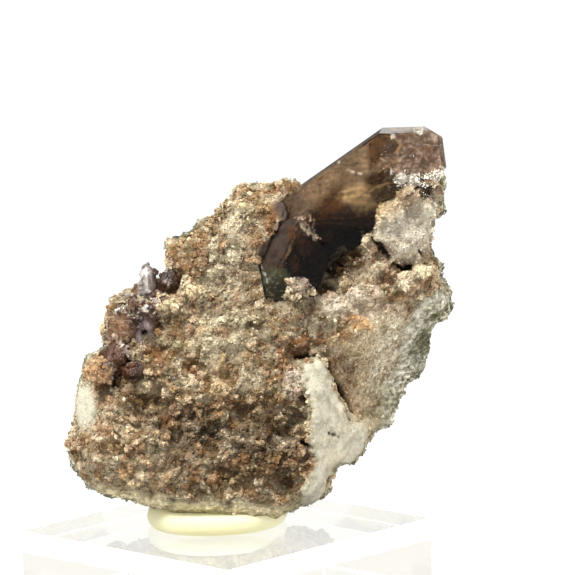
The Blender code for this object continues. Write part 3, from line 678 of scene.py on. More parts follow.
    # painted shade in the hollows
    for middle, half, turn, strength in SHADED_HOLLOWS:
        share = spot(places, middle, half, turn) * strength
        colour = mixed(colour, share * (0.85 + 0.5 * fine) * show, PAINTED_SHADE)
        own = own * (1.0 - share)
    lump = np.zeros(len(places))
    for middle, half, tint in LUMPS:
        here = spot(places, middle, (half[0] * 1.2, half[2] * 1.2)) * show
        colour = mixed(colour, 0.85 * here, tint)
        lump = np.maximum(lump, here)
    mottled = (1.0 - 0.7 * white_mass) * (1.0 - 0.4 * fine_grained) * (1.0 - 0.6 * lump)
    mottled = mottled * (0.4 + 0.6 * own)
    colour = mixed(colour, smoothstep(0.2, 0.14, knob_chance) * 0.45 * mottled, RUST)
    browned = smoothstep(0.24, 0.28, knob_chance) * smoothstep(0.46, 0.42, knob_chance)
    colour = mixed(colour, browned * 0.35 * mottled, BROWN)
    creamy = smoothstep(0.66, 0.7, knob_chance) * (1.0 - 0.5 * deep)
    colour = mixed(colour, creamy * 0.5 * mottled, CREAM)
    colour = mixed(colour, smoothstep(0.94, 0.96, knob_chance) * 0.8 * mottled, MOSS)
    tiny = noise_at(places, 0.55, 3.3)
    speckled = fine_grained * (1.0 - white_mass)
    colour = mixed(colour, speckled * smoothstep(0.15, 0.4, tiny) * 0.5, BROWN)
    colour = mixed(colour, speckled * smoothstep(0.15, 0.4, -tiny) * 0.5, CREAM)
    # painted shade in the seams between clumps and knobs, stronger in the deep zones
    seam_shade = smoothstep(0.34, 0.0, clump) * (0.36 + 0.4 * deep) * np.clip(relief * 1.3, 0.0, 1.0)
    seam_shade = np.maximum(seam_shade, smoothstep(0.3, 0.0, knob) * (0.26 + 0.3 * deep))
    colour = mixed(colour, seam_shade * (1.0 - 0.45 * white_mass) * (1.0 - 0.5 * lump), PAINTED_SHADE)
    stone = mixed(np.tile(SCHIST_GREEN, (count, 1)), smoothstep(-0.1, 0.35, strata), SCHIST_PALE)
    line = smoothstep(0.16, 0.05, np.abs(thin)) * smoothstep(-0.5, 0.1, fine)
    stone = mixed(stone, line, SCHIST_DARK)
    stone = mixed(stone, smoothstep(0.14, 0.34, tiny) * (0.45 + 0.5 * smoothstep(0.0, 0.4, -wide)), SCHIST_DARK)
    stone = mixed(stone, smoothstep(0.1, 0.5, wide) * 0.5, SCHIST_DARK)
    edge = smoothstep(3.6, 0.5, outline_depth(places, BARE_OUTLINE)) * show * bare
    stone = mixed(stone, edge * 0.75, paint(236, 230, 210))
    stone = mixed(stone, under, FOOT_LIT_BEIGE)
    stone = mixed(stone, smoothstep(0.15, 0.5, middling) * 0.35, SCHIST_DARK)
    # painted shade in the seams between the schist's knobs
    stone = mixed(stone, smoothstep(0.3, 0.0, knob) * 0.45, SCHIST_DARK)
    colour = mixed(colour, schist, (0.0, 0.0, 0.0)) + stone * schist[:, None]
    white = mixed(np.tile(VEIN_WHITE, (count, 1)), smoothstep(0.0, 0.5, middling) * 0.7, VEIN_GREY)
    white = mixed(white, smoothstep(0.1, 0.5, wide) * 0.4, TAN)
    white = mixed(white, smoothstep(0.1, 0.45, streak) * 0.55, VEIN_SHADE)
    white = mixed(white, smoothstep(0.1, 0.4, -streak) * 0.4, paint(214, 208, 190))
    white = mixed(white, smoothstep(0.25, 0.6, fine) * 0.25, CREAM)
    white = mixed(white, smooth, SMOOTH_PAINT)
    white = mixed(white, smoothstep(0.8, 0.0, vein_depth) * 0.6, SCHIST_GREEN)
    colour = mixed(colour, vein, (0.0, 0.0, 0.0)) + white * vein[:, None]
    # cracks take painted shade
    colour = mixed(colour, lines, PAINTED_SHADE)
    colour = mixed(colour, free, FREE_END)

    skin = read_vertices(mesh, "co")
    outward = read_vertices(mesh, "normal")
    covered = np.zeros(count)
    for number, (place, normal) in enumerate(zip(skin, outward)):
        start = Vector(place)
        hit = crystals.ray_cast(start, Vector(normal), COVER_REACH * MM)[0]
        covered[number] = 0.0 if hit is None else 1.0
    skin += (height * (1.0 - covered))[:, None] * MM * outward
    for number, place in enumerate(skin):
        nearest, normal, face, away = crystals.find_nearest(Vector(place), RIM_REACH * MM)
        if nearest is None:
            continue
        pull = 1.0 if covered[number] else float(smoothstep(RIM_REACH, 0.5, away / MM))
        if (Vector(place) - nearest).dot(normal) < 0.0 and not covered[number]:
            continue
        skin[number] = Vector(place).lerp(nearest - normal * POCKET_OVERLAP * MM, pull)
    write_places(mesh, skin)
    # rock covered by a crystal takes painted shade
    colour = mixed(colour, covered, SHADED_POCKET)
    write_values(mesh, "ground_colour", colour)
    open_stone = (1.0 - covered) * (1.0 - lines)
    cluster = np.zeros(count)
    for middle, half, turn in CLUSTER_ZONES:
        cluster = np.maximum(cluster, spot(places, middle, half, turn))
    open_stone *= 1.0 - free
    strewable = (0.25 + 0.75 * clump) * (1.0 - 0.8 * cluster) * (1.0 - 0.4 * white_mass)
    write_values(mesh, "crusted", crusted * open_stone * strewable)
    write_values(mesh, "schist", schist * open_stone)
    calm = np.maximum(np.maximum(0.7 * vein, 0.4 * white_mass), 0.3 * fine_grained)
    calm = np.maximum(calm, 0.5 * under)
    write_values(mesh, "calm", np.maximum(calm, free))
    write_values(mesh, "cluster", cluster * (1.0 - covered) * show)
    for face in mesh.polygons:
        face.use_smooth = True
    return piece


def crystal_tree():
    """All the crystals' surfaces in one tree for nearest-point tests."""
    bm = bmesh.new()
    for node in ("smoky_quartz", "upper_side_quartz", "lower_side_quartz"):
        bm.from_mesh(frame["nodes"][node].data)
    tree = BVHTree.FromBMesh(bm)
    bm.free()
    return tree


def fine_copy(node, name, voxel):
    piece = merged_copy(node, name)
    even = piece.modifiers.new("even", "REMESH")
    even.mode = "VOXEL"
    even.voxel_size = voxel * MM
    return finished(piece)


def haze_paint(places, base, thin, zones, patches, threads, specks):
    """Colour and thickness of the clouds inside a crystal, for each vertex."""
    mottle = noise_at(places, 2.4, 1.3)
    grain = noise_at(places, 0.8, 5.1)
    tiny = noise_at(places, 0.42, 2.2)
    streaks = noise_at(places * np.array((0.25, 1.0, 1.6)), 1.1, 9.0)
    colour = np.tile(base, (len(places), 1))
    thickness = np.full(len(places), thin)
    for ring, tint, strength, softness in zones:
        depth = outline_depth(places, ring) + 0.4 * softness * grain
        share = smoothstep(-softness, softness, depth)
        colour = mixed(colour, share, tint)
        thickness += (strength - thickness) * share
    for middle, half, turn, tint, strength in patches:
        share = spot(places, middle, half, turn) * smoothstep(-1.3, 0.1, grain + 0.5 * tiny)
        colour = mixed(colour, share, tint)
        thickness += (strength - thickness) * share
    lit = 1.0 + 0.3 * grain + 0.3 * mottle + 0.3 * streaks + 0.25 * tiny
    colour = np.clip(colour * np.clip(lit, 0.35, 1.8)[:, None], 0.0, 1.0)
    # painted glints, and smoky flecks among them
    for middle, half, turn, strength in specks:
        share = spot(places, middle, half, turn) * strength
        colour = mixed(colour, share * smoothstep(0.28, 0.42, tiny), GLINT_PAINT)
        colour = mixed(colour, share * smoothstep(0.2, 0.5, -grain) * 0.45, SMOKE)
        thickness = np.maximum(thickness, share * smoothstep(0.28, 0.42, tiny))
    for points, width, tint in threads:
        share = crack(places, points, width) * smoothstep(-0.5, 0.1, grain)
        colour = mixed(colour, share, tint)
        thickness = np.maximum(thickness, share)
    return colour, np.clip(thickness * (1.0 + 0.12 * mottle), 0.0, 1.0)


def add_haze(dustings, tree, shapes):
    """The clouds, veils and growth zones in the smoky crystals, and what is strewn on them."""
    piece = fine_copy("smoky_quartz", "smoky_haze", HAZE_VOXEL)
    mesh = piece.data
    places = in_stone(read_vertices(mesh, "co"))
    painted = (MAIN_ZONES, MAIN_HAZE, MAIN_THREADS, MAIN_SPECKS)
    outward = read_vertices(mesh, "normal")
    faced = outward @ np.array(STANCE)
    aside = smoothstep(0.5, 0.15, -faced[:, 1])
    sampled = places - HAZE_INSET * aside[:, None] * faced
    colour, thickness = haze_paint(sampled, paint(96, 68, 44), 0.6, *painted)
    write_values(mesh, "haze_colour", colour)
    write_values(mesh, "haze", thickness)
    front = smoothstep(0.1, -0.2, outward[:, 1])
    for name, zones, tint, finish, density, smallest, largest in dustings:
        mask = np.zeros(len(places))
        for middle, half, turn in zones:
            mask = np.maximum(mask, spot(places, middle, half, turn))
        write_values(mesh, name, mask * front)
        write_values(mesh, "ground_colour", np.tile(tint, (len(places), 1)))
        settings = {
            "Mask": name,
            "Shapes": shapes,
            "Turn": 1.0,
            "Per square metre": density,
            "Smallest": smallest * MM,
            "Largest": largest * MM,
            "Seed": 3,
            "Finish": finish,
        }
        dust = strewn(name, piece, tree, settings)
        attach(dust, "root")
        mesh.attributes.remove(mesh.attributes["ground_colour"])
    write_places(mesh, read_vertices(mesh, "co") - outward * HAZE_DEPTH * MM)
    for face in mesh.polygons:
        face.use_smooth = True
    assign(piece, haze_material())
    return piece


def haze_material():
    made, tree, shader, _ = new_material("crystal haze")
    fine = texture_noise(tree, object_place(tree), 0.6, 3.0, 0.6)
    thickness = attribute(tree, "haze").outputs["Fac"]
    cloud = number_map(tree, fine.outputs[0], 0.3, 0.7, 0.9, 1.1)
    lie = add_node(tree, "ShaderNodeMapping")
    plug(tree, lie.inputs["Vector"], object_place(tree))
    lie.inputs["Rotation"].default_value = (0.0, math.radians(8.0), 0.0)
    lie.inputs["Scale"].default_value = (0.2, 1.0, 1.7)
    fibre = texture_noise(tree, lie.outputs["Vector"], 0.8, 4.0, 0.7)
    value = add_node(tree, "ShaderNodeHueSaturation")
    plug(tree, value.inputs["Value"], number_map(tree, fibre.outputs[0], 0.3, 0.7, 0.8, 1.2))
    plug(tree, value.inputs["Color"], attribute(tree, "haze_colour").outputs["Color"])
    fleck = texture_noise(tree, object_place(tree), 0.35).outputs[0]
    fleck = number_map(tree, fleck, 0.7, 0.78, 0.0, 0.5)
    flecked = colour_mix(tree, fleck, value.outputs[0], paint(226, 206, 170))
    plug(tree, shader.inputs["Base Color"], flecked)
    plug(tree, shader.inputs["Alpha"], number_math(tree, "MULTIPLY", thickness, cloud))
    shader.inputs["Roughness"].default_value = 1.0
    shader.inputs["Specular IOR Level"].default_value = 0.0
    return made


def add_node(tree, kind, **settings):
    made = tree.nodes.new(kind)
    for key, value in settings.items():
        setattr(made, key, value)
    return made


def plug(tree, socket, value):
    """Links a node's output to a socket, or sets the socket to a plain value."""
    if isinstance(value, bpy.types.NodeSocket):
        tree.links.new(value, socket)
    elif isinstance(value, tuple) and len(value) == 3 and socket.type == "RGBA":
        socket.default_value = (*value, 1.0)
    else:
        socket.default_value = value


def new_group(name, kind, inputs, outputs):
    tree = bpy.data.node_groups.new(name, kind)
    for label, socket in inputs:
        tree.interface.new_socket(label, in_out="INPUT", socket_type=socket)
    for label, socket in outputs:
        tree.interface.new_socket(label, in_out="OUTPUT", socket_type=socket)
    entry = tree.nodes.new("NodeGroupInput")
    way_out = tree.nodes.new("NodeGroupOutput")
    return tree, entry, way_out


def grain_strewer():
    """Geometry nodes that strew small shapes over the parts of a surface that carry crust."""
    tree, entry, way_out = new_group(
        "strewn grains",
        "GeometryNodeTree",
        (
            ("Surface", "NodeSocketGeometry"),
            ("Mask", "NodeSocketString"),
            ("Shapes", "NodeSocketCollection"),
            ("Turn", "NodeSocketFloat"),
            ("Per square metre", "NodeSocketFloat"),
            ("Smallest", "NodeSocketFloat"),
            ("Largest", "NodeSocketFloat"),
            ("Seed", "NodeSocketInt"),
            ("Finish", "NodeSocketMaterial"),
        ),
        (("Grains", "NodeSocketGeometry"),),
    )
    link = tree.links.new
    mask = add_node(tree, "GeometryNodeInputNamedAttribute", data_type="FLOAT")
    link(entry.outputs["Mask"], mask.inputs["Name"])
    density = add_node(tree, "ShaderNodeMath", operation="MULTIPLY")
    link(mask.outputs["Attribute"], density.inputs[0])
    link(entry.outputs["Per square metre"], density.inputs[1])
    strew = add_node(tree, "GeometryNodeDistributePointsOnFaces")
    link(entry.outputs["Surface"], strew.inputs["Mesh"])
    link(density.outputs[0], strew.inputs["Density"])
    link(entry.outputs["Seed"], strew.inputs["Seed"])

    turn = add_node(tree, "FunctionNodeRandomValue", data_type="FLOAT_VECTOR")
    turn.inputs["Max"].default_value = (math.tau, math.tau, math.tau)
    link(entry.outputs["Seed"], turn.inputs["Seed"])
    part_turn = add_node(tree, "ShaderNodeVectorMath", operation="SCALE")
    link(turn.outputs["Value"], part_turn.inputs[0])
    link(entry.outputs["Turn"], part_turn.inputs["Scale"])
    turned = add_node(tree, "FunctionNodeEulerToRotation")
    link(part_turn.outputs["Vector"], turned.inputs[0])

    draw = add_node(tree, "FunctionNodeRandomValue", data_type="FLOAT")
    draw_seed = add_node(tree, "ShaderNodeMath", operation="ADD")
    link(entry.outputs["Seed"], draw_seed.inputs[0])
    draw_seed.inputs[1].default_value = 11.0
    link(draw_seed.outputs[0], draw.inputs["Seed"])
    few_large = add_node(tree, "ShaderNodeMath", operation="POWER")
    link(draw.outputs[1], few_large.inputs[0])
    few_large.inputs[1].default_value = 2.2
    size = add_node(tree, "ShaderNodeMapRange")
    link(few_large.outputs[0], size.inputs["Value"])
    link(entry.outputs["Smallest"], size.inputs["To Min"])
    link(entry.outputs["Largest"], size.inputs["To Max"])
    uneven = add_node(tree, "FunctionNodeRandomValue", data_type="FLOAT_VECTOR")
    uneven.inputs["Min"].default_value = (0.75, 0.75, 0.75)
    uneven.inputs["Max"].default_value = (1.2, 1.2, 1.2)
    scale = add_node(tree, "ShaderNodeVectorMath", operation="SCALE")
    link(uneven.outputs["Value"], scale.inputs[0])
    link(size.outputs["Result"], scale.inputs["Scale"])

    shapes = add_node(tree, "GeometryNodeCollectionInfo")
    shapes.inputs["Separate Children"].default_value = True
    shapes.inputs["Reset Children"].default_value = True
    link(entry.outputs["Shapes"], shapes.inputs["Collection"])
    lay = add_node(tree, "GeometryNodeInstanceOnPoints")
    lay.inputs["Pick Instance"].default_value = True
    link(strew.outputs["Points"], lay.inputs["Points"])
    link(shapes.outputs[0], lay.inputs["Instance"])
    link(turned.outputs[0], lay.inputs["Rotation"])
    link(scale.outputs[0], lay.inputs["Scale"])

    chance = add_node(tree, "FunctionNodeRandomValue", data_type="FLOAT")
    chance.inputs["Seed"].default_value = 5
    keep = add_node(tree, "GeometryNodeStoreNamedAttribute", data_type="FLOAT", domain="INSTANCE")
    keep.inputs["Name"].default_value = "chance"
    link(lay.outputs[0], keep.inputs["Geometry"])
    link(chance.outputs[1], keep.inputs["Value"])
    real = add_node(tree, "GeometryNodeRealizeInstances")
    link(keep.outputs[0], real.inputs[0])
    dress = add_node(tree, "GeometryNodeSetMaterial")
    link(real.outputs[0], dress.inputs["Geometry"])
    link(entry.outputs["Finish"], dress.inputs["Material"])
    link(dress.outputs[0], way_out.inputs["Grains"])
    return tree


def shape_group(name, meshes):
    """A collection of small shapes, one unit across, to strew."""
    group = bpy.data.collections.new(name)
    bpy.context.scene.collection.children.link(group)
    for number, mesh in enumerate(meshes):
        group.objects.link(bpy.data.objects.new(f"{name} {number}", mesh))
    return group


def drop_shapes(group):
    for shape in list(group.objects):
        bpy.data.objects.remove(shape, do_unlink=True)
    bpy.data.collections.remove(group)


def broken_grain(draw, corners, flatness=1.0, along=None):
    """A small convex lump. A flat one lies across the direction it is given."""
    bm = bmesh.new()
    for corner in range(corners):
        away = Vector([draw.gauss(0.0, 1.0) for axis in range(3)]).normalized()
        away *= draw.uniform(0.42, 0.56)
        away.z *= flatness
        bm.verts.new(away)
    hull = bmesh.ops.convex_hull(bm, input=bm.verts)
    inner = [part for part in hull["geom_interior"] if isinstance(part, bmesh.types.BMVert)]
    bmesh.ops.delete(bm, geom=inner, context="VERTS")
    if along is not None:
        turn = along.to_track_quat("Z", "Y").to_matrix()
        bmesh.ops.rotate(bm, cent=(0, 0, 0), matrix=turn, verts=bm.verts)
    return to_mesh(bm)


def quartz_point(draw, slimmest=0.16):
    """A small six-sided crystal with a point, one unit long."""
    bm = bmesh.new()
    width = draw.uniform(slimmest, 1.5 * slimmest)
    for height, share in ((-0.5, 0.9), (0.22, 1.0), (0.5, 0.12)):
        for side in range(6):
            turn = math.tau * side / 6
            out = width * share * draw.uniform(0.85, 1.1)
            bm.verts.new((out * math.cos(turn), out * math.sin(turn), height))
    bmesh.ops.convex_hull(bm, input=bm.verts)
    return to_mesh(bm)


def slanted_rhomb(draw):
    bm = bmesh.new()
    bmesh.ops.create_cube(bm, size=0.72)
    lean = draw.uniform(0.2, 0.45)
    slant = Matrix(((1, lean, 0.2, 0), (0, 1, lean, 0), (0, 0, 0.85, 0), (0, 0, 0, 1)))
    bmesh.ops.transform(bm, matrix=slant, verts=bm.verts)
    return to_mesh(bm)


def to_mesh(bm):
    bmesh.ops.recalc_face_normals(bm, faces=bm.faces)
    mesh = bpy.data.meshes.new("shape")
    bm.to_mesh(mesh)
    bm.free()
    return mesh


def strewn(name, surface, tree, settings):
    """Grains over a surface, as one plain mesh."""
    carrier = add_piece(name + " carrier", surface.data)
    strew = carrier.modifiers.new("strew", "NODES")
    strew.node_group = tree
    for item in tree.interface.items_tree:
        if item.in_out == "INPUT" and item.name in settings:
            strew[item.identifier] = settings[item.name]
    piece = finished(carrier, name)
    bpy.data.objects.remove(carrier, do_unlink=True)
    return piece


def new_material(name):
    made = bpy.data.materials.new(name)
    made.use_nodes = True
    tree = made.node_tree
    return made, tree, tree.nodes["Principled BSDF"], tree.nodes["Material Output"]


def object_place(tree):
    return add_node(tree, "ShaderNodeTexCoord").outputs["Object"]


def texture_noise(tree, place, size, detail=3.0, rough=0.55):
    """Noise whose features are about size millimetres wide."""
    made = add_node(tree, "ShaderNodeTexNoise")
    plug(tree, made.inputs["Vector"], place)
    made.inputs["Scale"].default_value = 1.0 / (size * MM)
    made.inputs["Detail"].default_value = detail
    made.inputs["Roughness"].default_value = rough
    return made


def colour_mix(tree, share, low, high, way="MIX"):
    made = add_node(tree, "ShaderNodeMix", data_type="RGBA", blend_type=way)
    plug(tree, made.inputs[0], share)
    plug(tree, made.inputs[6], low)
    plug(tree, made.inputs[7], high)
    return made.outputs[2]


def number_math(tree, way, first, second=0.0):
    made = add_node(tree, "ShaderNodeMath", operation=way)
    plug(tree, made.inputs[0], first)
    plug(tree, made.inputs[1], second)
    return made.outputs[0]


def number_map(tree, value, low, high, to_low=0.0, to_high=1.0):
    made = add_node(tree, "ShaderNodeMapRange")
    plug(tree, made.inputs["Value"], value)
    for label, number in (("From Min", low), ("From Max", high), ("To Min", to_low), ("To Max", to_high)):
        made.inputs[label].default_value = number
    return made.outputs["Result"]


def colour_ramp(tree, value, stops):
    made = add_node(tree, "ShaderNodeValToRGB")
    plug(tree, made.inputs[0], value)
    ramp = made.color_ramp
    ramp.elements[0].position, ramp.elements[1].position = stops[0][0], stops[-1][0]
    for place, colour in stops[1:-1]:
        ramp.elements.new(place)
    for element, (place, colour) in zip(ramp.elements, stops):
        element.position = place
        element.color = (*colour, 1.0)
    return made.outputs[0]


def bump(tree, height, distance, strength=1.0):
    made = add_node(tree, "ShaderNodeBump")
    plug(tree, made.inputs["Height"], height)
    made.inputs["Distance"].default_value = distance * MM
    made.inputs["Strength"].default_value = strength
    return made.outputs["Normal"]


def attribute(tree, name):
    return add_node(tree, "ShaderNodeAttribute", attribute_name=name)


def rock_material():
    made, tree, shader, _ = new_material("crusted rock")
    place = object_place(tree)
    colour = attribute(tree, "ground_colour").outputs["Color"]
    schist = attribute(tree, "schist").outputs["Fac"]
    fine = texture_noise(tree, place, 0.5, 4.0, 0.7)
    lie = add_node(tree, "ShaderNodeMapping")
    plug(tree, lie.inputs["Vector"], place)
    lie.inputs["Rotation"].default_value = layer_turns()
    lie.inputs["Scale"].default_value = (0.25, 0.25, 1.6)
    leaves = texture_noise(tree, lie.outputs["Vector"], 0.9, 3.0, 0.6)
    rough = add_node(tree, "ShaderNodeMix", data_type="FLOAT")
    plug(tree, rough.inputs[0], schist)
    plug(tree, rough.inputs[2], fine.outputs[0])
    plug(tree, rough.inputs[3], leaves.outputs[0])
    calm = attribute(tree, "calm").outputs["Fac"]
    darkest = number_map(tree, calm, 0.0, 1.0, 0.5, 0.84)
    palest = number_map(tree, calm, 0.0, 1.0, 1.24, 1.08)
    shade = add_node(tree, "ShaderNodeMapRange")
    plug(tree, shade.inputs["Value"], rough.outputs[0])
    shade.inputs["From Min"].default_value = 0.3
    shade.inputs["From Max"].default_value = 0.7
    plug(tree, shade.inputs["To Min"], darkest)
    plug(tree, shade.inputs["To Max"], palest)
    shade = shade.outputs["Result"]
    value = add_node(tree, "ShaderNodeHueSaturation")
    plug(tree, value.inputs["Value"], shade)
    plug(tree, value.inputs["Color"], colour)
    specks = texture_noise(tree, place, 0.8, 4.0, 0.65).outputs[0]
    open_schist = number_math(tree, "MULTIPLY", schist, number_map(tree, calm, 0.0, 0.5, 1.0, 0.25))
    dark = number_map(tree, specks, 0.54, 0.62, 0.0, 0.7)
    pale = number_map(tree, specks, 0.44, 0.36, 0.0, 0.5)
    dark = number_math(tree, "MULTIPLY", dark, open_schist)
    pale = number_math(tree, "MULTIPLY", pale, open_schist)
    flecked = colour_mix(tree, dark, value.outputs[0], SCHIST_DARK)
    flecked = colour_mix(tree, pale, flecked, SCHIST_PALE)
    plug(tree, shader.inputs["Base Color"], flecked)
    shader.inputs["Roughness"].default_value = 0.8
    shader.inputs["Specular IOR Level"].default_value = 0.25
    both = number_math(tree, "ADD", rough.outputs[0], fine.outputs[0])
    plug(tree, shader.inputs["Normal"], bump(tree, both, 0.35, 0.8))
    return made


def layer_turns():
    """Turns that lay a pattern's Z across the schist's layers."""
    across = STANCE @ Vector(LAYER_NORMAL)
    return across.to_track_quat("Z", "Y").to_matrix().transposed().to_euler("XYZ")


def grain_material(name, darkest, palest, roughness, gloss=0.1):
    made, tree, shader, _ = new_material(name)
    colour = attribute(tree, "ground_colour").outputs["Color"]
    chance = attribute(tree, "chance").outputs["Fac"]
    value = add_node(tree, "ShaderNodeHueSaturation")
    fine = texture_noise(tree, object_place(tree), 0.4, 3.0, 0.6)
    own = number_map(tree, chance, 0.0, 1.0, 0.82, 1.14)
    speck = number_map(tree, fine.outputs[0], 0.32, 0.68, 0.62, 1.24)
    plug(tree, value.inputs["Value"], number_math(tree, "MULTIPLY", own, speck))
    plug(tree, value.inputs["Color"], colour)
    lively = number_map(tree, attribute(tree, "calm").outputs["Fac"], 0.0, 1.0, 1.0, 0.0)
    darkened = number_math(tree, "MULTIPLY", number_map(tree, chance, 0.2, 0.1, 0.0, 0.5), lively)
    paled = number_math(tree, "MULTIPLY", number_map(tree, chance, 0.84, 0.92, 0.0, 0.2), lively)
    dark = colour_mix(tree, darkened, value.outputs[0], darkest)
    pale = colour_mix(tree, paled, dark, palest)
    plug(tree, shader.inputs["Base Color"], pale)
    shader.inputs["Roughness"].default_value = roughness
    shader.inputs["Specular IOR Level"].default_value = gloss
    return made


def glass_material(name, tint, roughness, ior, absorbed, density):
    made, tree, shader, out = new_material(name)
    plug(tree, shader.inputs["Base Color"], tint)
    shader.inputs["Roughness"].default_value = roughness
    shader.inputs["IOR"].default_value = ior
    shader.inputs["Transmission Weight"].default_value = 1.0
    if density:
        soak = add_node(tree, "ShaderNodeVolumeAbsorption")
        soak.inputs["Color"].default_value = (*absorbed, 1.0)
        soak.inputs["Density"].default_value = density
        tree.links.new(soak.outputs[0], out.inputs["Volume"])
    return made, tree, shader


def shard_material():
    made, tree, shader, _ = new_material("quartz shards")
    chance = attribute(tree, "chance").outputs["Fac"]
    tint = colour_ramp(
        tree,
        chance,
        (
            (0.0, paint(74, 50, 38)),
            (0.35, paint(128, 98, 78)),
            (0.6, paint(150, 124, 108)),
            (0.85, paint(168, 150, 138)),
            (1.0, paint(226, 218, 212)),
        ),
    )
    plug(tree, shader.inputs["Base Color"], tint)
    shader.inputs["Roughness"].default_value = 0.12
    shader.inputs["IOR"].default_value = 1.544
    shader.inputs["Transmission Weight"].default_value = 0.55
    return made


def etch_group():
    """A round worn zone: roughness and relief inside its reach, none outside."""
    tree, entry, way_out = new_group(
        "etched zone",
        "ShaderNodeTree",
        (
            ("Place", "NodeSocketVector"),
            ("Middle", "NodeSocketVector"),
            ("Reach", "NodeSocketFloat"),
            ("Pit size", "NodeSocketFloat"),
        ),
        (("Mask", "NodeSocketFloat"), ("Relief", "NodeSocketFloat")),
    )
    away = add_node(tree, "ShaderNodeVectorMath", operation="DISTANCE")
    plug(tree, away.inputs[0], entry.outputs["Place"])
    plug(tree, away.inputs[1], entry.outputs["Middle"])
    share = number_math(tree, "DIVIDE", away.outputs["Value"], entry.outputs["Reach"])
    ragged = texture_noise(tree, entry.outputs["Place"], 2.0, 4.0, 0.6)
    share = number_math(tree, "ADD", share, number_map(tree, ragged.outputs[0], 0.3, 0.7, -0.3, 0.3))
    mask = number_map(tree, share, 1.05, 0.8)
    plug(tree, way_out.inputs["Mask"], mask)
    pits = add_node(tree, "ShaderNodeTexNoise")
    plug(tree, pits.inputs["Vector"], entry.outputs["Place"])
    plug(tree, pits.inputs["Scale"], number_math(tree, "DIVIDE", 1.0, entry.outputs["Pit size"]))
    pits.inputs["Detail"].default_value = 5.0
    pits.inputs["Roughness"].default_value = 0.7
    chips = add_node(tree, "ShaderNodeTexVoronoi")
    plug(tree, chips.inputs["Vector"], entry.outputs["Place"])
    plug(tree, chips.inputs["Scale"], number_math(tree, "DIVIDE", 1.0, entry.outputs["Pit size"]))
    relief = number_math(tree, "ADD", pits.outputs[0], chips.outputs["Distance"])
    plug(tree, way_out.inputs["Relief"], number_math(tree, "MULTIPLY", relief, mask))
    return tree


def smoky_glass(etched):
    made, tree, shader = glass_material(
        "smoky quartz", paint(240, 232, 224), 0.03, 1.544, (0.575, 0.46, 0.26), 150.0
    )
    zone = add_node(tree, "ShaderNodeGroup", node_tree=etched)
    plug(tree, zone.inputs["Place"], object_place(tree))
    zone.inputs["Middle"].default_value = placed(31.2, -12.0, 63.0)
    zone.inputs["Reach"].default_value = 6.2 * MM
    zone.inputs["Pit size"].default_value = 0.9 * MM
    plug(tree, shader.inputs["Roughness"], number_map(tree, zone.outputs["Mask"], 0.0, 1.0, 0.03, 0.1))
    plug(tree, shader.inputs["Normal"], bump(tree, zone.outputs["Relief"], 1.2, 0.8))
    return made


def side_quartz():
    """Cloudy quartz: its clouds are painted on its faces, and it still lets light through."""
    made, tree, shader, _ = new_material("side quartz")
    fine = texture_noise(tree, object_place(tree), 0.5, 4.0, 0.7)
    value = add_node(tree, "ShaderNodeHueSaturation")
    plug(tree, value.inputs["Value"], number_map(tree, fine.outputs[0], 0.3, 0.7, 0.6, 1.35))
    plug(tree, value.inputs["Color"], attribute(tree, "haze_colour").outputs["Color"])
    plug(tree, shader.inputs["Base Color"], value.outputs[0])
    shader.inputs["Roughness"].default_value = 0.14
    shader.inputs["Specular IOR Level"].default_value = 0.2
    shader.inputs["IOR"].default_value = 1.544
    shader.inputs["Transmission Weight"].default_value = 0.3
    plug(tree, shader.inputs["Normal"], bump(tree, fine.outputs[0], 0.3, 0.8))
    return made


def acrylic():
    made, tree, shader = glass_material("acrylic", paint(253, 252, 248), 0.03, 1.49, (1, 1, 1), 0.0)
    return made


def edge_painted_glow():
    """The ground bevels of the block, painted bright by an emission that stands in for the light caught in
    them.
    """
    made, tree, shader, _ = new_material("block edges")
    plug(tree, shader.inputs["Base Color"], paint(250, 250, 246))
    shader.inputs["Roughness"].default_value = 0.6
    plug(tree, shader.inputs["Emission Color"], paint(252, 252, 250))
    shader.inputs["Emission Strength"].default_value = 0.8
    return made


def clear_block():
    """The block, with its faces polished and its narrow ground edge bevels painted bright by a glow."""
    piece = merged_copy("acrylic_block", "clear_block", flat_angle=1.0)
    piece.data.materials.append(acrylic())
    piece.data.materials.append(edge_painted_glow())
    largest = max(face.area for face in piece.data.polygons)
    for face in piece.data.polygons:
        face.material_index = 0 if face.area > 0.1 * largest else 1
    return piece


def putty_material():
    made, tree, shader, _ = new_material("putty")
    place = object_place(tree)
    mottle = texture_noise(tree, place, 5.0)
    colour = colour_mix(tree, mottle.outputs[0], paint(192, 189, 156), paint(186, 182, 144))
    plug(tree, shader.inputs["Base Color"], colour)
    shader.inputs["Roughness"].default_value = 0.8
    shader.inputs["Specular IOR Level"].default_value = 0.15
    shader.inputs["Subsurface Weight"].default_value = 1.0
    shader.inputs["Subsurface Scale"].default_value = 0.005
    shader.inputs["Subsurface Radius"].default_value = (1.0, 0.92, 0.6)
    # a faint glow paints light into the putty, flattening its shading
    plug(tree, shader.inputs["Emission Color"], paint(236, 234, 198))
    shader.inputs["Emission Strength"].default_value = 0.3
    fine = texture_noise(tree, place, 1.4)
    plug(tree, shader.inputs["Normal"], bump(tree, fine.outputs[0], 0.15, 0.5))
    return made


def bevelled_crystal(node, name, width):
    piece = merged_copy(node, name, flat_angle=0.6)
    edge = piece.modifiers.new("worn edges", "BEVEL")
    edge.width = width * MM
    edge.segments = 2
    edge.limit_method = "ANGLE"
    edge.angle_limit = math.radians(8.0)
    return finished(piece)


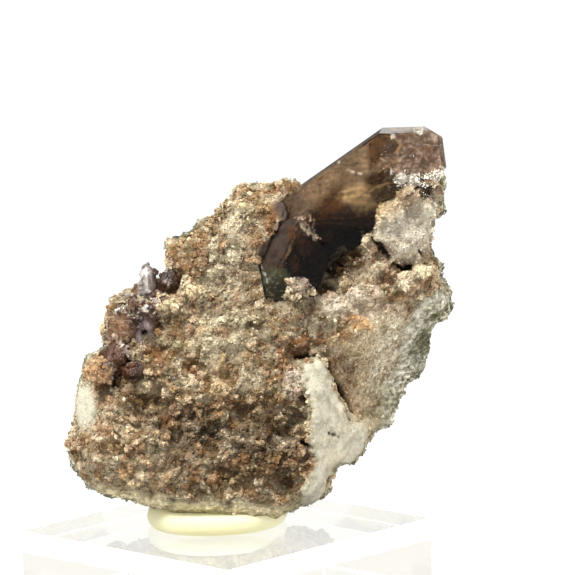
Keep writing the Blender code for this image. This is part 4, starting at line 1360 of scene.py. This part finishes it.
def chipped_crystals(node, name):
    """Small crystals with chipped faces, their clouds painted on as colours."""
    piece = bevelled_crystal(node, name, 0.08)
    split = piece.modifiers.new("split", "SUBSURF")
    split.subdivision_type = "SIMPLE"
    split.levels = 2
    split.render_levels = 2
    finished(piece)
    mesh = piece.data
    places = in_stone(read_vertices(mesh, "co"))
    painted = ((), SIDE_HAZE, SIDE_THREADS, SIDE_SPECKS)
    colour, _ = haze_paint(places, paint(66, 44, 28), 1.0, *painted)
    write_values(mesh, "haze_colour", colour)
    rise = 0.08 * noise_at(places, 1.1, 4.0)
    write_values(mesh, "whole", np.ones(len(places)))
    outward = read_vertices(mesh, "normal")
    write_places(mesh, read_vertices(mesh, "co") + rise[:, None] * MM * outward)
    return piece


def pressed_putty():
    """The putty, down on the block and with a soft uneven rim."""
    piece = merged_copy("putty", "soft_putty")
    low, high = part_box("putty")
    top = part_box("acrylic_block")[1].z
    mesh = piece.data
    places = read_vertices(mesh, "co")
    near_foot = smoothstep(low.z + 0.0008, low.z + 0.0001, places[:, 2])
    places[:, 2] -= near_foot * (low.z - top - 0.00003)
    write_places(mesh, places)
    for face in mesh.polygons:
        face.use_smooth = True
    return piece


def assign(piece, material):
    piece.data.materials.clear()
    piece.data.materials.append(material)


def build_stone(shard):
    rock = rock_skin(crystal_tree())
    assign(rock, rock_material())
    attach(rock, "root")
    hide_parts("matrix")

    draw = random.Random(4)
    lumps = [broken_grain(draw, 9) for number in range(5)]
    lumps += [slanted_rhomb(draw) for number in range(2)]
    across = STANCE @ Vector(LAYER_NORMAL)
    plates = [broken_grain(draw, 9, 0.22, across) for number in range(6)]
    grains = shape_group("grains", lumps)
    flakes = shape_group("flakes", plates)
    slivers = shape_group("slivers", [quartz_point(draw) for number in range(5)])
    crust = grain_material("crust grains", paint(104, 70, 42), paint(228, 214, 186), 0.9)
    mica = grain_material("schist flakes", paint(66, 64, 40), paint(232, 228, 210), 0.5, 0.4)
    tree = grain_strewer()
    layers = (
        ("coarse_crust", "crusted", grains, 1.0, 0.5e6, 0.6 * MM, 1.2 * MM, crust),
        ("middle_crust", "crusted", grains, 1.0, 4.2e6, 0.36 * MM, 0.78 * MM, crust),
        ("fine_crust", "crusted", grains, 1.0, 5.6e6, 0.3 * MM, 0.6 * MM, crust),
        ("fine_crust_over", "crusted", grains, 1.0, 5.6e6, 0.3 * MM, 0.6 * MM, crust),
        ("sugar_crust", "crusted", grains, 1.0, 3.4e6, 0.22 * MM, 0.42 * MM, crust),
        ("schist_flakes", "schist", flakes, 0.06, 1.5e6, 0.4 * MM, 1.0 * MM, mica),
        ("cluster_shards", "cluster", slivers, 1.0, 2.6e6, 0.6 * MM, 2.2 * MM, shard),
    )
    for seed, (name, mask, shapes, turn, density, smallest, largest, finish) in enumerate(layers):
        settings = {
            "Mask": mask,
            "Shapes": shapes,
            "Turn": turn,
            "Per square metre": density,
            "Smallest": smallest,
            "Largest": largest,
            "Seed": seed,
            "Finish": finish,
        }
        piece = strewn(name, rock, tree, settings)
        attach(piece, "root")
    for shapes in (grains, flakes, slivers):
        drop_shapes(shapes)


def build_crystals():
    main = bevelled_crystal("smoky_quartz", "smoky_crystals", 0.12)
    assign(main, smoky_glass(etch_group()))
    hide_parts("smoky_quartz")
    pieces = [(main, "smoky_quartz")]
    side = side_quartz()
    shards = shard_material()
    for name in ("upper", "lower"):
        node = f"{name}_side_quartz"
        points = chipped_crystals(node, f"{name}_crystals")
        assign(points, side)
        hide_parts(node)
        pieces.append((points, "side_quartz"))
    tree = grain_strewer()
    draw = random.Random(9)
    chips = shape_group("chips", [broken_grain(draw, 8) for number in range(5)])
    crumbs = grain_material("white crust", paint(168, 148, 118), paint(222, 214, 196), 0.9)
    glint = grain_material("quartz chips", paint(134, 108, 86), paint(244, 236, 224), 0.15, 0.5)
    dustings = (
        ("etched_chips", ETCHED_ZONES, paint(150, 118, 94), glint, 3.0e6, 0.15, 0.4),
        ("white_crust", WHITE_ZONES, WHITE_CRUST, crumbs, 2.0e7, 0.2, 0.55),
        ("seam_grit", SEAM_ZONES, paint(170, 146, 122), glint, 5.0e6, 0.15, 0.45),
    )
    pieces.append((add_haze(dustings, tree, chips), "smoky_quartz"))
    blunt = shape_group("blunt points", [quartz_point(draw, 0.28) for number in range(5)])
    for points, slot in pieces[1:3]:
        settings = {
            "Mask": "whole",
            "Shapes": blunt,
            "Turn": 1.0,
            "Per square metre": 6.0e5,
            "Smallest": 0.5 * MM,
            "Largest": 1.8 * MM,
            "Seed": 7,
            "Finish": side,
        }
        pieces.append((strewn(points.name + "_offshoots", points, tree, settings), slot))
    drop_shapes(blunt)
    for piece, slot in pieces:
        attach(piece, "root")
    drop_shapes(chips)
    return shards


def build_mount():
    putty = pressed_putty()
    assign(putty, putty_material())
    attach(putty, "root")
    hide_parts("putty")
    block = clear_block()
    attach(block, "root")
    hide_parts("acrylic_block")


def mirrored(tree):
    """1 where a gloss mirrors what is shaded, 0 where it is seen in any other way."""
    ray = add_node(tree, "ShaderNodeLightPath").outputs
    return number_math(tree, "MULTIPLY", ray["Is Glossy Ray"], ray["Is Reflection Ray"])


def studio_world():
    """White as seen; as light it is bright behind and above, and dim on the camera's side."""
    world = bpy.data.worlds.new("studio")
    bpy.context.scene.world = world
    world.use_nodes = True
    tree = world.node_tree
    seen = tree.nodes["Background"]
    seen.inputs["Color"].default_value = (*paint(252, 252, 250), 1.0)
    toward = add_node(tree, "ShaderNodeTexCoord").outputs["Generated"]
    ray = add_node(tree, "ShaderNodeLightPath").outputs
    split = add_node(tree, "ShaderNodeSeparateXYZ")
    plug(tree, split.inputs[0], toward)
    behind = number_map(tree, split.outputs["Y"], -0.5, 0.4, FRONT_LIGHT, BACK_LIGHT)
    above = number_map(tree, split.outputs["Z"], 0.2, 0.9, 0.0, TOP_LIGHT)
    dim = number_map(tree, split.outputs["Y"], 0.6, 0.9, GLOSS_SHARE - 1.0, -0.06)
    share = number_math(tree, "ADD", number_math(tree, "MULTIPLY", mirrored(tree), dim), 1.0)
    strength = number_math(tree, "MULTIPLY", number_math(tree, "ADD", behind, above), share)
    clear = number_math(tree, "MULTIPLY", ray["Is Transmission Ray"], THROUGH_LIGHT)
    strength = number_math(tree, "MAXIMUM", strength, clear)
    light = add_node(tree, "ShaderNodeBackground")
    light.inputs["Color"].default_value = (1.0, 0.985, 0.95, 1.0)
    plug(tree, light.inputs["Strength"], strength)
    which = add_node(tree, "ShaderNodeMixShader")
    plug(tree, which.inputs[0], ray["Is Camera Ray"])
    tree.links.new(light.outputs[0], which.inputs[1])
    tree.links.new(seen.outputs[0], which.inputs[2])
    tree.links.new(which.outputs[0], tree.nodes["World Output"].inputs["Surface"])


def floor_material():
    """Bright where it is seen, also through the block, and darker where a gloss mirrors it."""
    made, tree, shader, _ = new_material("white floor")
    ray = add_node(tree, "ShaderNodeLightPath").outputs
    seen = number_math(tree, "MAXIMUM", ray["Is Camera Ray"], ray["Is Transmission Ray"])
    gloss = mirrored(tree)
    glow = number_map(tree, ray["Is Camera Ray"], 0.0, 1.0, FLOOR_LIGHT, FLOOR_SEEN)
    through = number_math(tree, "MULTIPLY", ray["Is Transmission Ray"], THROUGH_LIGHT)
    glow = number_math(tree, "MAXIMUM", glow, through)
    glow = number_math(tree, "MULTIPLY", glow, number_map(tree, gloss, 0.0, 1.0, 1.0, 0.05))
    plug(tree, shader.inputs["Emission Color"], glow)
    shader.inputs["Emission Strength"].default_value = 1.0
    unseen = number_math(tree, "SUBTRACT", 1.0, number_math(tree, "MAXIMUM", seen, gloss))
    shade = number_map(tree, unseen, 0.0, 1.0, FLOOR_SHADE_SEEN, FLOOR_SHADE)
    plug(tree, shader.inputs["Base Color"], shade)
    shader.inputs["Roughness"].default_value = 0.9
    return made


def build_studio():
    studio_world()
    bpy.context.scene.view_settings.view_transform = "Standard"
    bm = bmesh.new()
    bmesh.ops.create_grid(bm, x_segments=1, y_segments=1, size=6.0)
    mesh = bpy.data.meshes.new("floor")
    bm.to_mesh(mesh)
    bm.free()
    floor = add_piece("floor", mesh)
    floor.location.z = -0.2 * MM
    assign(floor, floor_material())

    for name, place, energy, size in LAMPS:
        lamp = bpy.data.lights.new(name, "AREA")
        lamp.energy = energy
        lamp.size = size
        holder = bpy.data.objects.new(name, lamp)
        bpy.context.scene.collection.objects.link(holder)
        holder.location = place
        aim = Vector((0.0, 0.0, 0.045)) - Vector(place)
        holder.rotation_euler = aim.to_track_quat("-Z", "Y").to_euler()


def build_camera():
    lens = bpy.data.cameras.new("camera")
    lens.lens = CAMERA_LENS
    lens.sensor_width = 36.0
    lens.clip_start = 0.01
    camera = bpy.data.objects.new("camera", lens)
    bpy.context.scene.collection.objects.link(camera)
    camera.location = CAMERA_PLACE
    camera.rotation_euler = [math.radians(turn) for turn in CAMERA_TURNS]
    bpy.context.scene.camera = camera


build_camera()
build_studio()
build_mount()
shards = build_crystals()
build_stone(shards)
